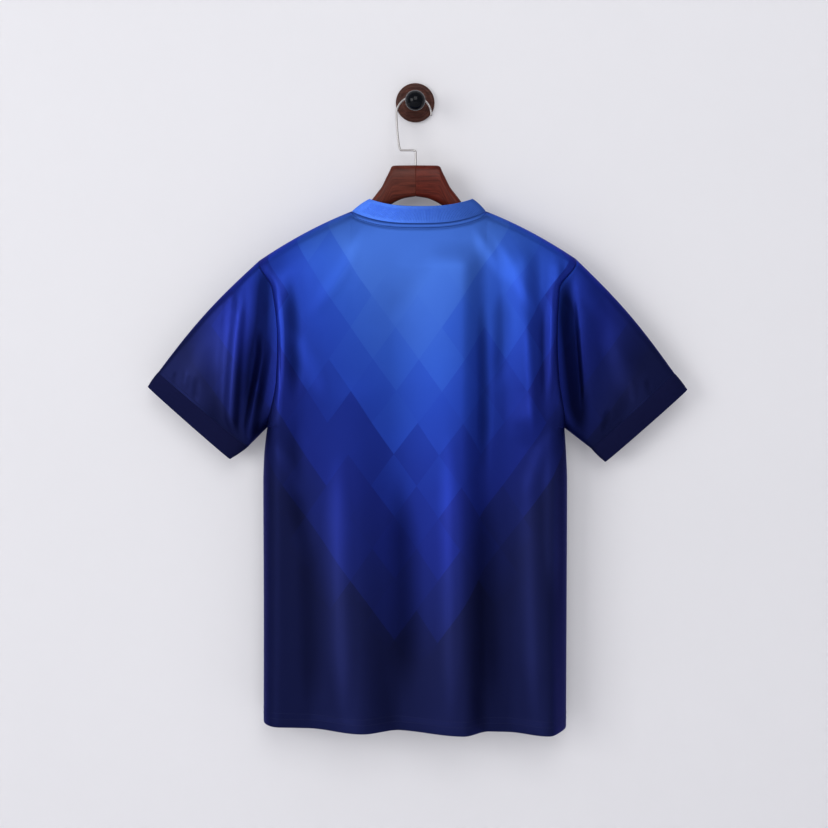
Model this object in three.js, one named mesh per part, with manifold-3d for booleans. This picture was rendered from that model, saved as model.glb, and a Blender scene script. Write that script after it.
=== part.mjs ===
// Football jersey on a wooden hanger, hung from a wall knob.
// Millimetres, +Z up. The wall is the plane y = 0 and everything hangs in front of it, at y < 0.
// The jersey's back is turned to the room. The origin is the middle of the rosette's wall face.

import * as THREE from 'three';
import { mergeVertices } from 'three/addons/utils/BufferGeometryUtils.js';
import Module from 'manifold-3d';

// Cloth walls and the gap between sewn pieces
const KNIT = 1.2;
const CUFF_KNIT = 1.8;
const RIB_KNIT = 2.0;
const SEAM_GAP = 0.3;
const NECK_SEAM_GAP = 0.55;

// The hanging plane holds the hanger, the shoulder seams and the side seams
const HANG_Y = -38;

// Neck opening
const NECK_X = 5;
const NECK_HALF = 93;
const NECK_POINT_Z = -150.5;
const BACK_NECK = { drop: 16.2, round: 2.7, power: 1 };
const FRONT_NECK = { drop: 84, round: 2.2, power: 0.75 };
const NECK_CROWN = 30;

// Ribbed collar band
const COLLAR_TOP = { centre: 8, half: 72, z: -133.4, backDrop: 10.5, frontDrop: 78, round: 2.6 };
const COLLAR_LEAN = 0.82;
const COLLAR_ROWS = 3;

// Shoulder line, as a drop that grows away from the neck point
const SHOULDER_SLOPE = 0.385;
const SHOULDER_CURVE = 0.00112;

// Cloth rolled over the hanger's arm, then easing out to the body's depth
const ROLL = { neck: 12, tip: 20, from: 60, over: 150, drop: 12, ease: 55 };

// Hem line, a little lower on the right
const HEM_Z = -877.5;
const HEM_TILT = -0.018;

// Armhole, from the shoulder tip to the underarm
const UNDERARM_SHARE = 0.354;
const ARMHOLE_FLAT = 0.74;
const ARMHOLE_ROUND = 40;
const ARMHOLE_LEAN = { middle: 0.45, end: 0.85, power: 3 };
const ARMHOLE_ROWS = 16;
const SIDE_ROWS = 9;

// Columns of each body panel
const NECK_COLUMNS = 18;
const SHOULDER_COLUMNS = 8;
const CORNER_COLUMNS = 4;

// Body sections: edges left and right, how far the cloth turns at its edge, the turn's width,
// the side seam's tuck at the underarm, and the depth behind and in front of the hanging plane
const BODY_SECTIONS = [
  { z: -150, left: -217, right: 223, turn: 50, corner: 22, tuck: 0, back: 46, front: 27 },
  { z: -220, left: -217, right: 223, turn: 50, corner: 22, tuck: 0, back: 46, front: 27 },
  { z: -257, left: -197, right: 199, turn: 50, corner: 17, tuck: 0, back: 46, front: 27 },
  { z: -325, left: -190, right: 196, turn: 50, corner: 16, tuck: 0, back: 46, front: 27 },
  { z: -380, left: -192, right: 199, turn: 50, corner: 16, tuck: 0, back: 46, front: 27 },
  { z: -423, left: -200, right: 206, turn: 62, corner: 20, tuck: 0, back: 45, front: 27 },
  { z: -449, left: -209, right: 211, turn: 90, corner: 24, tuck: 3, back: 44, front: 27 },
  { z: -490, left: -213, right: 213, turn: 90, corner: 27, tuck: 1, back: 43, front: 26 },
  { z: -530, left: -214, right: 214, turn: 90, corner: 28, tuck: 0, back: 42, front: 26 },
  { z: -695, left: -215, right: 215, turn: 90, corner: 28, tuck: 0, back: 39, front: 25 },
  { z: -890, left: -217, right: 216, turn: 90, corner: 26, tuck: 0, back: 37, front: 24 },
];

// Soft folds: the ridge's line from top to bottom, how far it reaches to each side, and how far
// it stands out at its top and bottom. A negative rise is a trough.
const BACK_FOLDS = [
  { topX: -194, topZ: -240, lowX: -196, lowZ: -430, left: 18, right: 46, topRise: 9, lowRise: 6 },
  { topX: -92, topZ: -420, lowX: -75, lowZ: -900, left: 78, right: 56, topRise: 2, lowRise: 27 },
  { topX: 61, topZ: -230, lowX: 67, lowZ: -900, left: 100, right: 38, topRise: 11, lowRise: 28 },
  { topX: 147, topZ: -225, lowX: 156, lowZ: -430, left: 34, right: 26, topRise: 10, lowRise: 8 },
  { topX: 172, topZ: -440, lowX: 187, lowZ: -900, left: 58, right: 30, topRise: 4, lowRise: 20 },
  { topX: 196, topZ: -235, lowX: 194, lowZ: -320, left: 15, right: 10, topRise: 5, lowRise: 3 },
];
const FRONT_FOLDS = [
  { topX: -150, topZ: -240, lowX: -160, lowZ: -470, left: 34, right: 44, topRise: 4, lowRise: 4 },
  { topX: -60, topZ: -330, lowX: -92, lowZ: -900, left: 60, right: 50, topRise: -2, lowRise: -7 },
  { topX: 40, topZ: -300, lowX: 22, lowZ: -900, left: 52, right: 60, topRise: 2, lowRise: 5 },
  { topX: 110, topZ: -320, lowX: 128, lowZ: -900, left: 54, right: 46, topRise: -2, lowRise: -7 },
];
const SLEEVE_FOLDS = {
  left: [
    { topX: -246, topZ: -285, lowX: -262, lowZ: -420, left: 24, right: 22, topRise: 6, lowRise: 11 },
    { topX: -214, topZ: -345, lowX: -230, lowZ: -445, left: 18, right: 16, topRise: 8, lowRise: 8 },
    { topX: -298, topZ: -345, lowX: -305, lowZ: -400, left: 26, right: 26, topRise: 3, lowRise: 4 },
  ],
  right: [
    { topX: 224, topZ: -262, lowX: 236, lowZ: -395, left: 14, right: 40, topRise: 6, lowRise: 6 },
    { topX: 290, topZ: -330, lowX: 276, lowZ: -430, left: 34, right: 34, topRise: 2, lowRise: 5 },
  ],
};
const FOLD_FADE = 45;

// Each wall faces a core inside the garment, narrower than the body and below the hanger's arms
const CORE = { narrow: 0.8, topZ: -230 };

// Sleeves: the ends of the cuff seam and of the cuff's edge, as x and z, upper end first
const SLEEVES = {
  left: {
    side: -1,
    seam: [[-359.4, -374], [-235.5, -479.6]],
    edge: [[-374.4, -393.7], [-259.8, -496.6]],
  },
  right: {
    side: 1,
    seam: [[362.6, -375.6], [247.8, -482]],
    edge: [[381, -397.9], [266.7, -500.5]],
  },
};
const SLEEVE_ROWS = 10;
const SLEEVE_SWELL = 6;
const SLEEVE_CORE = 0.3;
// A sleeve's folds grow from the armhole and end before the cuff, as speeds along the sleeve
const SLEEVE_FREE = { start: 1.6, end: 5 };
const SLEEVE_SEAM_DEPTH = 13;
const CUFF_EDGE_DEPTH = 10;
const CUFF_ROWS = 2;
const FLATNESS = 0.7;
const FLAT_EDGE_POWER = 4;

// Hanger: half outline from its middle out to where the arm goes under the collar
const HANGER_X = 0.8;
const HANGER_SECTIONS = [
  { out: 0, top: -87.3, bottom: -130, half: 9 },
  { out: 16, top: -87.4, bottom: -132.6, half: 9 },
  { out: 29, top: -87.6, bottom: -138, half: 9 },
  { out: 33, top: -88.8, bottom: -140.4, half: 9 },
  { out: 37, top: -96.5, bottom: -142.8, half: 9 },
  { out: 42, top: -106.4, bottom: -146, half: 9 },
  { out: 47, top: -116.4, bottom: -149.2, half: 9 },
  { out: 55, top: -127, bottom: -154.4, half: 9 },
  { out: 61, top: -134.6, bottom: -158.4, half: 8.6 },
  { out: 66, top: -141.4, bottom: -161.6, half: 8 },
  { out: 91, top: -155, bottom: -180, half: 8.2 },
];
const ARM_UNDER_CLOTH = 2.5;
const ARM_END = 207;
const ARM_TIP = { round: 14, thin: 0.2, droop: 0.5 };
const ARM_HEIGHT = { neck: 25, tip: 20 };
const ARM_STATIONS = 9;
const ARM_CLEARANCE = 4.5;
const SECTION_POINTS = 14;
const SECTION_SQUARE = 0.9;

// Wire hook: its arc over the knob, its step to the middle, and its bore in the hanger
const WIRE = 1.3;
const WIRE_SIDES = 8;
const WIRE_STEPS = 52;
const HOOK = { x: -2, z: -17.6, radius: 24, endAngle: -3, leftAngle: 183, steps: 22 };
const HOOK_KINK = { leftX: -23.2, leftZ: -54, lowX: -21.8, z: -66.8, rightX: -2.4, bend: 2.6 };
const HOOK_BORE = { depth: 16, gap: 0.35, sides: 12, foot: 1 };

// Knob and rosette
const ROSETTE = { radius: 27, thick: 12, lip: 2.4, dish: 17 };
const ROSETTE_PROFILE = [
  { thick: 0, lip: -0.4 },
  { thick: 0.1, lip: 0 },
  { thick: 0.4, lip: 0 },
  { thick: 0.62, lip: -0.6 },
  { thick: 0.7, lip: -1.6 },
];
const ROSETTE_COVE = 0.86;
const KNOB = { stem: 4.5, ball: 14, ballY: -56, foot: 1.6, footLength: 2, taper: 1.6, steps: 10 };
const TURNED_SIDES = 32;

const wasm = await Module();
wasm.setup();

const mix = THREE.MathUtils.lerp;
const clamp = (value) => THREE.MathUtils.clamp(value, 0, 1);
const smooth = (value) => THREE.MathUtils.smoothstep(value, 0, 1);
const quarter = (value) => Math.sqrt(1 - (1 - clamp(value)) ** 2);
const radians = THREE.MathUtils.degToRad;

// Reads one column of a table at any height, along a curve that never overshoots its rows
function readTable(rows, key, at, column) {
  const sign = Math.sign(rows[1][key] - rows[0][key]);
  const xs = rows.map((row) => sign * row[key]);
  const ys = rows.map((row) => row[column]);
  const x = THREE.MathUtils.clamp(sign * at, xs[0], xs[xs.length - 1]);
  let i = 0;
  while (i < xs.length - 2 && x > xs[i + 1]) i += 1;
  const slope = (k) => (ys[k + 1] - ys[k]) / (xs[k + 1] - xs[k]);
  const tangent = (k) => {
    if (k === 0) return slope(0);
    if (k === xs.length - 1) return slope(k - 1);
    const before = slope(k - 1);
    const after = slope(k);
    return before * after <= 0 ? 0 : (2 * before * after) / (before + after);
  };
  const span = xs[i + 1] - xs[i];
  const t = (x - xs[i]) / span;
  const rise = ys[i] * (1 + 2 * t) * (1 - t) ** 2 + ys[i + 1] * t * t * (3 - 2 * t);
  return rise + span * t * (1 - t) * (tangent(i) * (1 - t) - tangent(i + 1) * t);
}

// How far the folds of one table stand out at a point of the hanging plane
function foldRise(folds, x, z) {
  let rise = 0;
  for (const fold of folds) {
    const length = fold.topZ - fold.lowZ;
    const below = fold.topZ - z;
    const share = clamp(below / length);
    const fade = smooth(1 + below / FOLD_FADE) * smooth(1 + (length - below) / FOLD_FADE);
    const middle = mix(fold.topX, fold.lowX, share);
    const reach = x < middle ? fold.left : fold.right;
    const across = Math.min(1, Math.abs(x - middle) / reach);
    const ridge = 0.5 * (1 + Math.cos(Math.PI * across));
    rise += fade * ridge * mix(fold.topRise, fold.lowRise, share);
  }
  return rise;
}

// Height of the line over which the cloth hangs, at a given x
function ridgeZ(x) {
  const out = Math.abs(x - NECK_X) - NECK_HALF;
  if (out < 0) return NECK_POINT_Z + NECK_CROWN * (1 - ((x - NECK_X) / NECK_HALF) ** 2);
  return NECK_POINT_Z - SHOULDER_SLOPE * out - SHOULDER_CURVE * out * out;
}

// Height of the panel's upper edge: the shoulder line, or the neck line between the neck points
function topZ(x, neck) {
  const across = Math.abs(x - NECK_X) / NECK_HALF;
  if (across >= 1) return ridgeZ(x);
  return NECK_POINT_Z - neck.drop * (1 - across ** neck.round) ** neck.power;
}

const hemZ = (x) => HEM_Z + HEM_TILT * x;

// Radius of the cloth rolled over the arm
function rollAt(x) {
  return mix(ROLL.neck, ROLL.tip, clamp((Math.abs(x - NECK_X) - ROLL.from) / ROLL.over));
}

// Depth of a panel's open face from the hanging plane
function faceDepth(face, x, z) {
  const drop = Math.max(0, ridgeZ(x) - z);
  const full = readTable(BODY_SECTIONS, 'z', z, face.depth) + foldRise(face.folds, x, z);
  const roll = rollAt(x);
  return roll * quarter(drop / ROLL.drop) + (full - roll) * (1 - Math.exp(-drop / ROLL.ease));
}

// Share of the body's length at each row, closer together at both ends of the armhole
const rowShares = [];
for (let row = 0; row <= ARMHOLE_ROWS; row += 1) {
  rowShares.push((UNDERARM_SHARE * (1 - Math.cos((Math.PI * row) / ARMHOLE_ROWS))) / 2);
}
for (let row = 1; row <= SIDE_ROWS; row += 1) {
  rowShares.push(mix(UNDERARM_SHARE, 1, row / SIDE_ROWS));
}

// Columns: open ones carry their share of the open width, corner ones their side and turn
function panelColumns() {
  const atTip = (side) => {
    const row = BODY_SECTIONS[1];
    return (side < 0 ? row.left : row.right) - side * row.corner * Math.sin(radians(row.turn));
  };
  const [low, high] = [atTip(-1), atTip(1)];
  const stops = [];
  for (let i = 0; i < SHOULDER_COLUMNS; i += 1) {
    stops.push(mix(low, NECK_X - NECK_HALF, i / SHOULDER_COLUMNS));
  }
  for (let i = 0; i <= NECK_COLUMNS; i += 1) {
    stops.push(NECK_X - NECK_HALF * Math.cos((Math.PI * i) / NECK_COLUMNS));
  }
  for (let i = 1; i <= SHOULDER_COLUMNS; i += 1) {
    stops.push(mix(NECK_X + NECK_HALF, high, i / SHOULDER_COLUMNS));
  }
  const open = stops.map((x) => ({ share: (x - low) / (high - low) }));
  const corner = (side) => {
    const turns = [];
    for (let i = 1; i <= CORNER_COLUMNS; i += 1) turns.push({ side, turn: i / CORNER_COLUMNS });
    return turns;
  };
  return [...corner(-1).reverse(), ...open, ...corner(1)];
}

// Where a column lies at a height, and how far its cloth has turned towards the seam
function columnAt(column, z) {
  const read = (name) => readTable(BODY_SECTIONS, 'z', z, name);
  const turn = radians(read('turn'));
  const corner = read('corner');
  const flatEnd = (side) => read(side < 0 ? 'left' : 'right') - side * corner * Math.sin(turn);
  if (column.side === undefined) return { x: mix(flatEnd(-1), flatEnd(1), column.share), turned: 0 };
  const angle = turn * column.turn;
  const tuck = read('tuck') * (1 - Math.cos(angle)) ** 2;
  const x = flatEnd(column.side) + column.side * (corner * Math.sin(angle) - tuck);
  return { x, turned: (1 - Math.cos(angle)) / (1 - Math.cos(turn)) };
}

// Outer points of one body panel, one list for each column, from its top edge down to the hem
function panelPoints(face) {
  return columns.map((column) => {
    const topX = columnAt(column, BODY_SECTIONS[1].z).x;
    const top = topZ(topX, face.neck);
    const underarm = mix(top, hemZ(topX), UNDERARM_SHARE);
    return rowShares.map((share) => {
      const z = mix(top, hemZ(topX), share);
      const { x, turned } = share === 0 ? { ...columnAt(column, z), x: topX } : columnAt(column, z);
      const open = faceDepth(face, x, z);
      const seam = ARMHOLE_FLAT * quarter((z - underarm) / ARMHOLE_ROUND);
      const depth = open * mix(1, seam, turned);
      return new THREE.Vector3(x, HANG_Y + face.side * (SEAM_GAP / 2 + depth), z);
    });
  });
}

// Unit normals of a grid of points, turned to the side where the test point lies
function gridNormals(points, wraps, inside) {
  const last = points.length - 1;
  return points.map((column, c) => column.map((point, r) => {
    const before = points[c > 0 ? c - 1 : wraps ? last : 0][r];
    const after = points[c < last ? c + 1 : wraps ? 0 : last][r];
    const above = column[Math.max(0, r - 1)];
    const below = column[Math.min(column.length - 1, r + 1)];
    const normal = after.clone().sub(before).cross(below.clone().sub(above)).normalize();
    return normal.dot(inside(point).sub(point)) < 0 ? normal.negate() : normal;
  }));
}

// Closed wall between two matching grids of points
function wallGeometry(outer, inner, wraps) {
  const rows = outer[0].length;
  const corners = [...outer, ...inner].flat();
  const at = (side, c, r) => (side * outer.length + (c % outer.length)) * rows + r;
  const faces = [];
  const quad = (a, b, c, d) => faces.push(a, b, c, a, c, d);
  const spans = wraps ? outer.length : outer.length - 1;
  for (let c = 0; c < spans; c += 1) {
    for (let r = 0; r < rows - 1; r += 1) {
      quad(at(0, c, r), at(0, c, r + 1), at(0, c + 1, r + 1), at(0, c + 1, r));
      quad(at(1, c, r), at(1, c + 1, r), at(1, c + 1, r + 1), at(1, c, r + 1));
    }
    quad(at(0, c, 0), at(0, c + 1, 0), at(1, c + 1, 0), at(1, c, 0));
    quad(at(0, c, rows - 1), at(1, c, rows - 1), at(1, c + 1, rows - 1), at(0, c + 1, rows - 1));
  }
  for (let r = 0; r < rows - 1 && !wraps; r += 1) {
    quad(at(0, 0, r), at(1, 0, r), at(1, 0, r + 1), at(0, 0, r + 1));
    quad(at(0, spans, r), at(0, spans, r + 1), at(1, spans, r + 1), at(1, spans, r));
  }
  return solidGeometry(corners, faces);
}

// Indexed geometry with its faces pointing out
function solidGeometry(corners, faces) {
  let volume = 0;
  for (let f = 0; f < faces.length; f += 3) {
    const [a, b, c] = [corners[faces[f]], corners[faces[f + 1]], corners[faces[f + 2]]];
    volume += a.dot(b.clone().cross(c));
  }
  const ordered = volume < 0 ? [...faces].reverse() : faces;
  const geometry = new THREE.BufferGeometry().setFromPoints(corners);
  geometry.setIndex(ordered);
  geometry.computeVertexNormals();
  return geometry;
}

// Two places nearer than this are the same
const TOUCH = 0.01;
const MERGE = 1e-4;

const offset = (point, direction, distance) => point.clone().addScaledVector(direction, distance);

// Inner points of a wall, one thickness in from its outer points
function innerPoints(points, normals, thickness) {
  return points.map((column, c) => column.map((point, r) => offset(point, normals[c][r], thickness)));
}

// Direction into the garment across the shoulder line
function shoulderNormal(x) {
  const step = 1;
  const slope = (ridgeZ(x + step) - ridgeZ(x - step)) / (2 * step);
  return new THREE.Vector3(slope, 0, -1).normalize();
}

// Direction into the garment round an armhole, shared by the panels and the sleeve
function armholeNormal(side, row, faceSide) {
  const angle = (Math.PI * row) / ARMHOLE_ROWS;
  const ends = Math.cos(angle);
  const inward = -side * mix(ARMHOLE_LEAN.middle, ARMHOLE_LEAN.end, Math.abs(ends) ** ARMHOLE_LEAN.power);
  return new THREE.Vector3(inward, -faceSide * Math.sin(angle), -ends).normalize();
}

const columns = panelColumns();
const BACK = { side: -1, neck: BACK_NECK, folds: BACK_FOLDS, depth: 'back' };
const FRONT = { side: 1, neck: FRONT_NECK, folds: FRONT_FOLDS, depth: 'front' };

// One body panel: its outer points, and its inward directions with the seams' own at the edges
function bodyPanel(face) {
  const points = panelPoints(face);
  const inside = ({ x, z }) => new THREE.Vector3(x * CORE.narrow, HANG_Y, Math.min(z, CORE.topZ));
  const normals = gridNormals(points, false, inside);
  for (const c of [0, columns.length - 1]) {
    const side = c === 0 ? -1 : 1;
    for (let r = 0; r < rowShares.length; r += 1) {
      const onArmhole = r <= ARMHOLE_ROWS;
      const sideNormal = new THREE.Vector3(-side, 0, 0);
      normals[c][r] = onArmhole ? armholeNormal(side, r, face.side) : sideNormal;
    }
  }
  points.forEach((column, c) => {
    const { x } = column[0];
    if (Math.abs(x - NECK_X) >= NECK_HALF - TOUCH) normals[c][0] = shoulderNormal(x);
  });
  return { points, normals };
}

const back = bodyPanel(BACK);
const front = bodyPanel(FRONT);

// Joins the back's and the front's edge points into one ring, meeting halfway at both ends
function seamRing(backEdge, frontEdge) {
  const last = backEdge.length - 1;
  const halfway = (k) => ({
    point: backEdge[k].point.clone().lerp(frontEdge[k].point, 0.5),
    normal: backEdge[k].normal.clone().add(frontEdge[k].normal).normalize(),
  });
  const home = frontEdge.slice(1, last).reverse();
  return [halfway(0), ...backEdge.slice(1, last), halfway(last), ...home];
}

// Moves a ring off its seam, across it and away from the given point
function parted(ring, gap, from) {
  return ring.map((entry, k) => {
    const after = ring[(k + 1) % ring.length].point;
    const before = ring[(k + ring.length - 1) % ring.length].point;
    const away = after.clone().sub(before).cross(entry.normal).normalize();
    const towards = entry.point.clone().sub(from(entry.point)).dot(away) < 0 ? -gap : gap;
    return { point: offset(entry.point, away, towards), normal: entry.normal };
  });
}

function armholeRing(side) {
  const c = side < 0 ? 0 : columns.length - 1;
  const edge = (panel) => {
    const rows = [];
    for (let r = 0; r <= ARMHOLE_ROWS; r += 1) {
      rows.push({ point: panel.points[c][r], normal: panel.normals[c][r] });
    }
    return rows;
  };
  const middle = (point) => new THREE.Vector3(0, point.y, point.z);
  return parted(seamRing(edge(back), edge(front)), SEAM_GAP, middle);
}

function neckRing() {
  const edge = (panel) => {
    const rows = [];
    panel.points.forEach((column, c) => {
      const within = Math.abs(column[0].x - NECK_X) <= NECK_HALF + TOUCH;
      if (within) rows.push({ point: column[0], normal: panel.normals[c][0] });
    });
    return rows;
  };
  const below = (point) => new THREE.Vector3(point.x, point.y, HEM_Z);
  return parted(seamRing(edge(back), edge(front)), NECK_SEAM_GAP, below);
}

// A flattened ring across a sleeve, between its upper and its lower end
function sleeveRing(ends, depth, count) {
  const [upper, lower] = ends;
  const ring = [];
  for (let k = 0; k < count; k += 1) {
    const angle = (2 * Math.PI * k) / count;
    const share = (1 - Math.cos(angle)) / 2;
    const side = Math.sin(angle);
    const bulge = -Math.sign(side) * depth * Math.abs(side) ** FLATNESS;
    const x = mix(upper[0], lower[0], share);
    const z = mix(upper[1], lower[1], share);
    ring.push(new THREE.Vector3(x, HANG_Y + bulge, z));
  }
  return ring;
}

// One list of points for each place round the sleeve, from its first ring to its last
function tubePoints(rings) {
  return rings[0].map((_, k) => rings.map((ring) => ring[k]));
}

function tubeWall(points, firstNormals, lastNormals, thickness, inside) {
  const normals = gridNormals(points, true, inside);
  normals.forEach((column, k) => {
    if (firstNormals) column[0] = firstNormals[k];
    if (lastNormals) column[column.length - 1] = lastNormals[k];
  });
  return wallGeometry(points, innerPoints(points, normals, thickness), true);
}

// Inward directions of a flattened ring, towards the line between its ends
function ringNormals(ring, ends) {
  const [upper, lower] = ends;
  const along = new THREE.Vector3(upper[0] - lower[0], 0, upper[1] - lower[1]).normalize();
  return ring.map((_, k) => {
    const angle = (2 * Math.PI * k) / ring.length;
    const edge = -Math.sign(Math.cos(angle)) * Math.abs(Math.cos(angle)) ** FLAT_EDGE_POWER;
    const flat = Math.sin(angle);
    return along.clone().multiplyScalar(edge).add(new THREE.Vector3(0, flat, 0)).normalize();
  });
}

// Middle of the line between a flattened ring's ends
function ringMiddle(ends) {
  const [upper, lower] = ends;
  return new THREE.Vector3((upper[0] + lower[0]) / 2, HANG_Y, (upper[1] + lower[1]) / 2);
}

// Rings of a sleeve, from its armhole to its cuff seam, with its folds
function sleeveRings(name, armhole, cuffSeam) {
  const swellWay = new THREE.Vector3(SLEEVES[name].side, 0, 1).normalize();
  const rings = [];
  for (let row = 0; row <= SLEEVE_ROWS; row += 1) {
    const share = row / SLEEVE_ROWS;
    const started = Math.sin(Math.PI * Math.min(share * SLEEVE_FREE.start, 0.5));
    const free = started * smooth((1 - share) * SLEEVE_FREE.end);
    rings.push(armhole.map(({ point }, k) => {
      const angle = (2 * Math.PI * k) / armhole.length;
      const place = point.clone().lerp(cuffSeam[k], share);
      const upper = clamp(Math.cos(angle)) ** 3;
      place.addScaledVector(swellWay, SLEEVE_SWELL * Math.sin(Math.PI * share) * upper);
      const open = Math.sqrt(Math.abs(Math.sin(angle)));
      const outward = Math.sin(angle) < 0 ? 1 : -1;
      place.y += outward * open * free * foldRise(SLEEVE_FOLDS[name], place.x, place.z);
      return place;
    }));
  }
  return rings;
}

function sleeveAndCuff(name) {
  const { side, seam, edge } = SLEEVES[name];
  const armhole = armholeRing(side);
  const cuffSeam = sleeveRing(seam, SLEEVE_SEAM_DEPTH, armhole.length);
  const seamNormals = ringNormals(cuffSeam, seam);
  const inside = (point) => new THREE.Vector3(point.x, HANG_Y, point.z);
  const sleeveInside = (point) => inside(point).lerp(ringMiddle(seam), SLEEVE_CORE);
  const sleeve = tubeWall(
    tubePoints(sleeveRings(name, armhole, cuffSeam)),
    armhole.map(({ normal }) => normal),
    seamNormals,
    KNIT,
    sleeveInside,
  );
  const cuffEdge = sleeveRing(edge, CUFF_EDGE_DEPTH, armhole.length);
  const gapWay = ringMiddle(edge).sub(ringMiddle(seam)).normalize();
  const start = cuffSeam.map((point) => offset(point, gapWay, SEAM_GAP));
  const cuffRings = [];
  for (let row = 0; row <= CUFF_ROWS; row += 1) {
    cuffRings.push(start.map((point, k) => point.clone().lerp(cuffEdge[k], row / CUFF_ROWS)));
  }
  const edgeNormals = ringNormals(cuffEdge, edge);
  const cuff = tubeWall(tubePoints(cuffRings), seamNormals, edgeNormals, CUFF_KNIT, inside);
  return { sleeve, cuff };
}

// Ribbed band, from the neck seam up and in to its free edge
function collarGeometry() {
  const ring = neckRing();
  const rings = [];
  for (let row = 0; row <= COLLAR_ROWS; row += 1) {
    rings.push(ring.map(({ point }, k) => {
      const across = THREE.MathUtils.clamp((point.x - NECK_X) / NECK_HALF, -1, 1);
      const drop = k <= ring.length / 2 ? COLLAR_TOP.backDrop : COLLAR_TOP.frontDrop;
      const power = k <= ring.length / 2 ? 1 : FRONT_NECK.power;
      const fall = drop * (1 - Math.abs(across) ** COLLAR_TOP.round) ** power;
      const free = new THREE.Vector3(
        COLLAR_TOP.centre + COLLAR_TOP.half * across,
        mix(HANG_Y, point.y, COLLAR_LEAN),
        COLLAR_TOP.z - fall,
      );
      return point.clone().lerp(free, row / COLLAR_ROWS);
    }));
  }
  const inside = (point) => new THREE.Vector3(NECK_X, HANG_Y, point.z - 10);
  return tubeWall(tubePoints(rings), ring.map(({ normal }) => normal), null, RIB_KNIT, inside);
}

// Top, bottom and half thickness of the hanger at a distance from its middle
function hangerSection(x) {
  const out = Math.abs(x - HANGER_X);
  const shown = HANGER_SECTIONS[HANGER_SECTIONS.length - 1];
  if (out <= shown.out) {
    const read = (name) => readTable(HANGER_SECTIONS, 'out', out, name);
    return { top: read('top'), bottom: read('bottom'), half: read('half') };
  }
  const share = (out - shown.out) / (ARM_END - shown.out);
  const tip = quarter((ARM_END - out) / ARM_TIP.round);
  const top = ridgeZ(x) - ARM_UNDER_CLOTH;
  const height = mix(ARM_HEIGHT.neck, ARM_HEIGHT.tip, share);
  const shrink = (height * (1 - tip)) / 2;
  const half = (rollAt(x) - ARM_CLEARANCE) * mix(ARM_TIP.thin, 1, tip);
  return { top: top - shrink * ARM_TIP.droop, bottom: top - height + shrink, half };
}

function hangerStations() {
  const shown = HANGER_SECTIONS.map((row) => row.out);
  const arm = [];
  for (let i = 1; i <= ARM_STATIONS; i += 1) {
    arm.push(mix(shown[shown.length - 1], ARM_END, Math.sin((Math.PI / 2) * (i / ARM_STATIONS))));
  }
  const outs = [...shown, ...arm];
  const left = outs.slice(1).reverse().map((out) => HANGER_X - out);
  return [...left, ...outs.map((out) => HANGER_X + out)];
}

function hangerGeometry() {
  const corners = [];
  const stations = hangerStations();
  for (const x of stations) {
    const { top, bottom, half } = hangerSection(x);
    for (let k = 0; k < SECTION_POINTS; k += 1) {
      const angle = (2 * Math.PI * k) / SECTION_POINTS;
      const round = (value) => Math.sign(value) * Math.abs(value) ** SECTION_SQUARE;
      const z = (top + bottom) / 2 + ((top - bottom) / 2) * round(Math.cos(angle));
      corners.push(new THREE.Vector3(x, HANG_Y + half * round(Math.sin(angle)), z));
    }
  }
  const faces = [];
  const at = (station, k) => station * SECTION_POINTS + (k % SECTION_POINTS);
  const last = stations.length - 1;
  for (let k = 0; k < SECTION_POINTS; k += 1) {
    for (let s = 0; s < last; s += 1) {
      faces.push(at(s, k), at(s, k + 1), at(s + 1, k + 1));
      faces.push(at(s, k), at(s + 1, k + 1), at(s + 1, k));
    }
  }
  for (let k = 1; k < SECTION_POINTS - 1; k += 1) {
    faces.push(at(0, 0), at(0, k + 1), at(0, k));
    faces.push(at(last, 0), at(last, k), at(last, k + 1));
  }
  const boreRadius = WIRE + HOOK_BORE.gap;
  const bore = new THREE.CylinderGeometry(boreRadius, boreRadius, 2 * HOOK_BORE.depth, HOOK_BORE.sides);
  bore.rotateX(Math.PI / 2).translate(HANGER_X, HANG_Y, HANGER_SECTIONS[0].top);
  const cut = toManifold(solidGeometry(corners, faces)).subtract(toManifold(bore));
  return fromManifold(cut);
}

// The geometry's positions and faces alone, with points that share a place joined
function welded(geometry) {
  const bare = geometry.clone();
  bare.deleteAttribute('normal');
  bare.deleteAttribute('uv');
  return mergeVertices(bare, MERGE);
}

function toManifold(geometry) {
  const merged = welded(geometry);
  const vertProperties = new Float32Array(merged.attributes.position.array);
  const triVerts = new Uint32Array(merged.index.array);
  return new wasm.Manifold(new wasm.Mesh({ numProp: 3, vertProperties, triVerts }));
}

function fromManifold(solid) {
  const { vertProperties, triVerts } = solid.getMesh();
  const geometry = new THREE.BufferGeometry();
  geometry.setAttribute('position', new THREE.BufferAttribute(vertProperties, 3));
  geometry.setIndex(new THREE.BufferAttribute(triVerts, 1));
  geometry.computeVertexNormals();
  return geometry;
}

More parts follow.
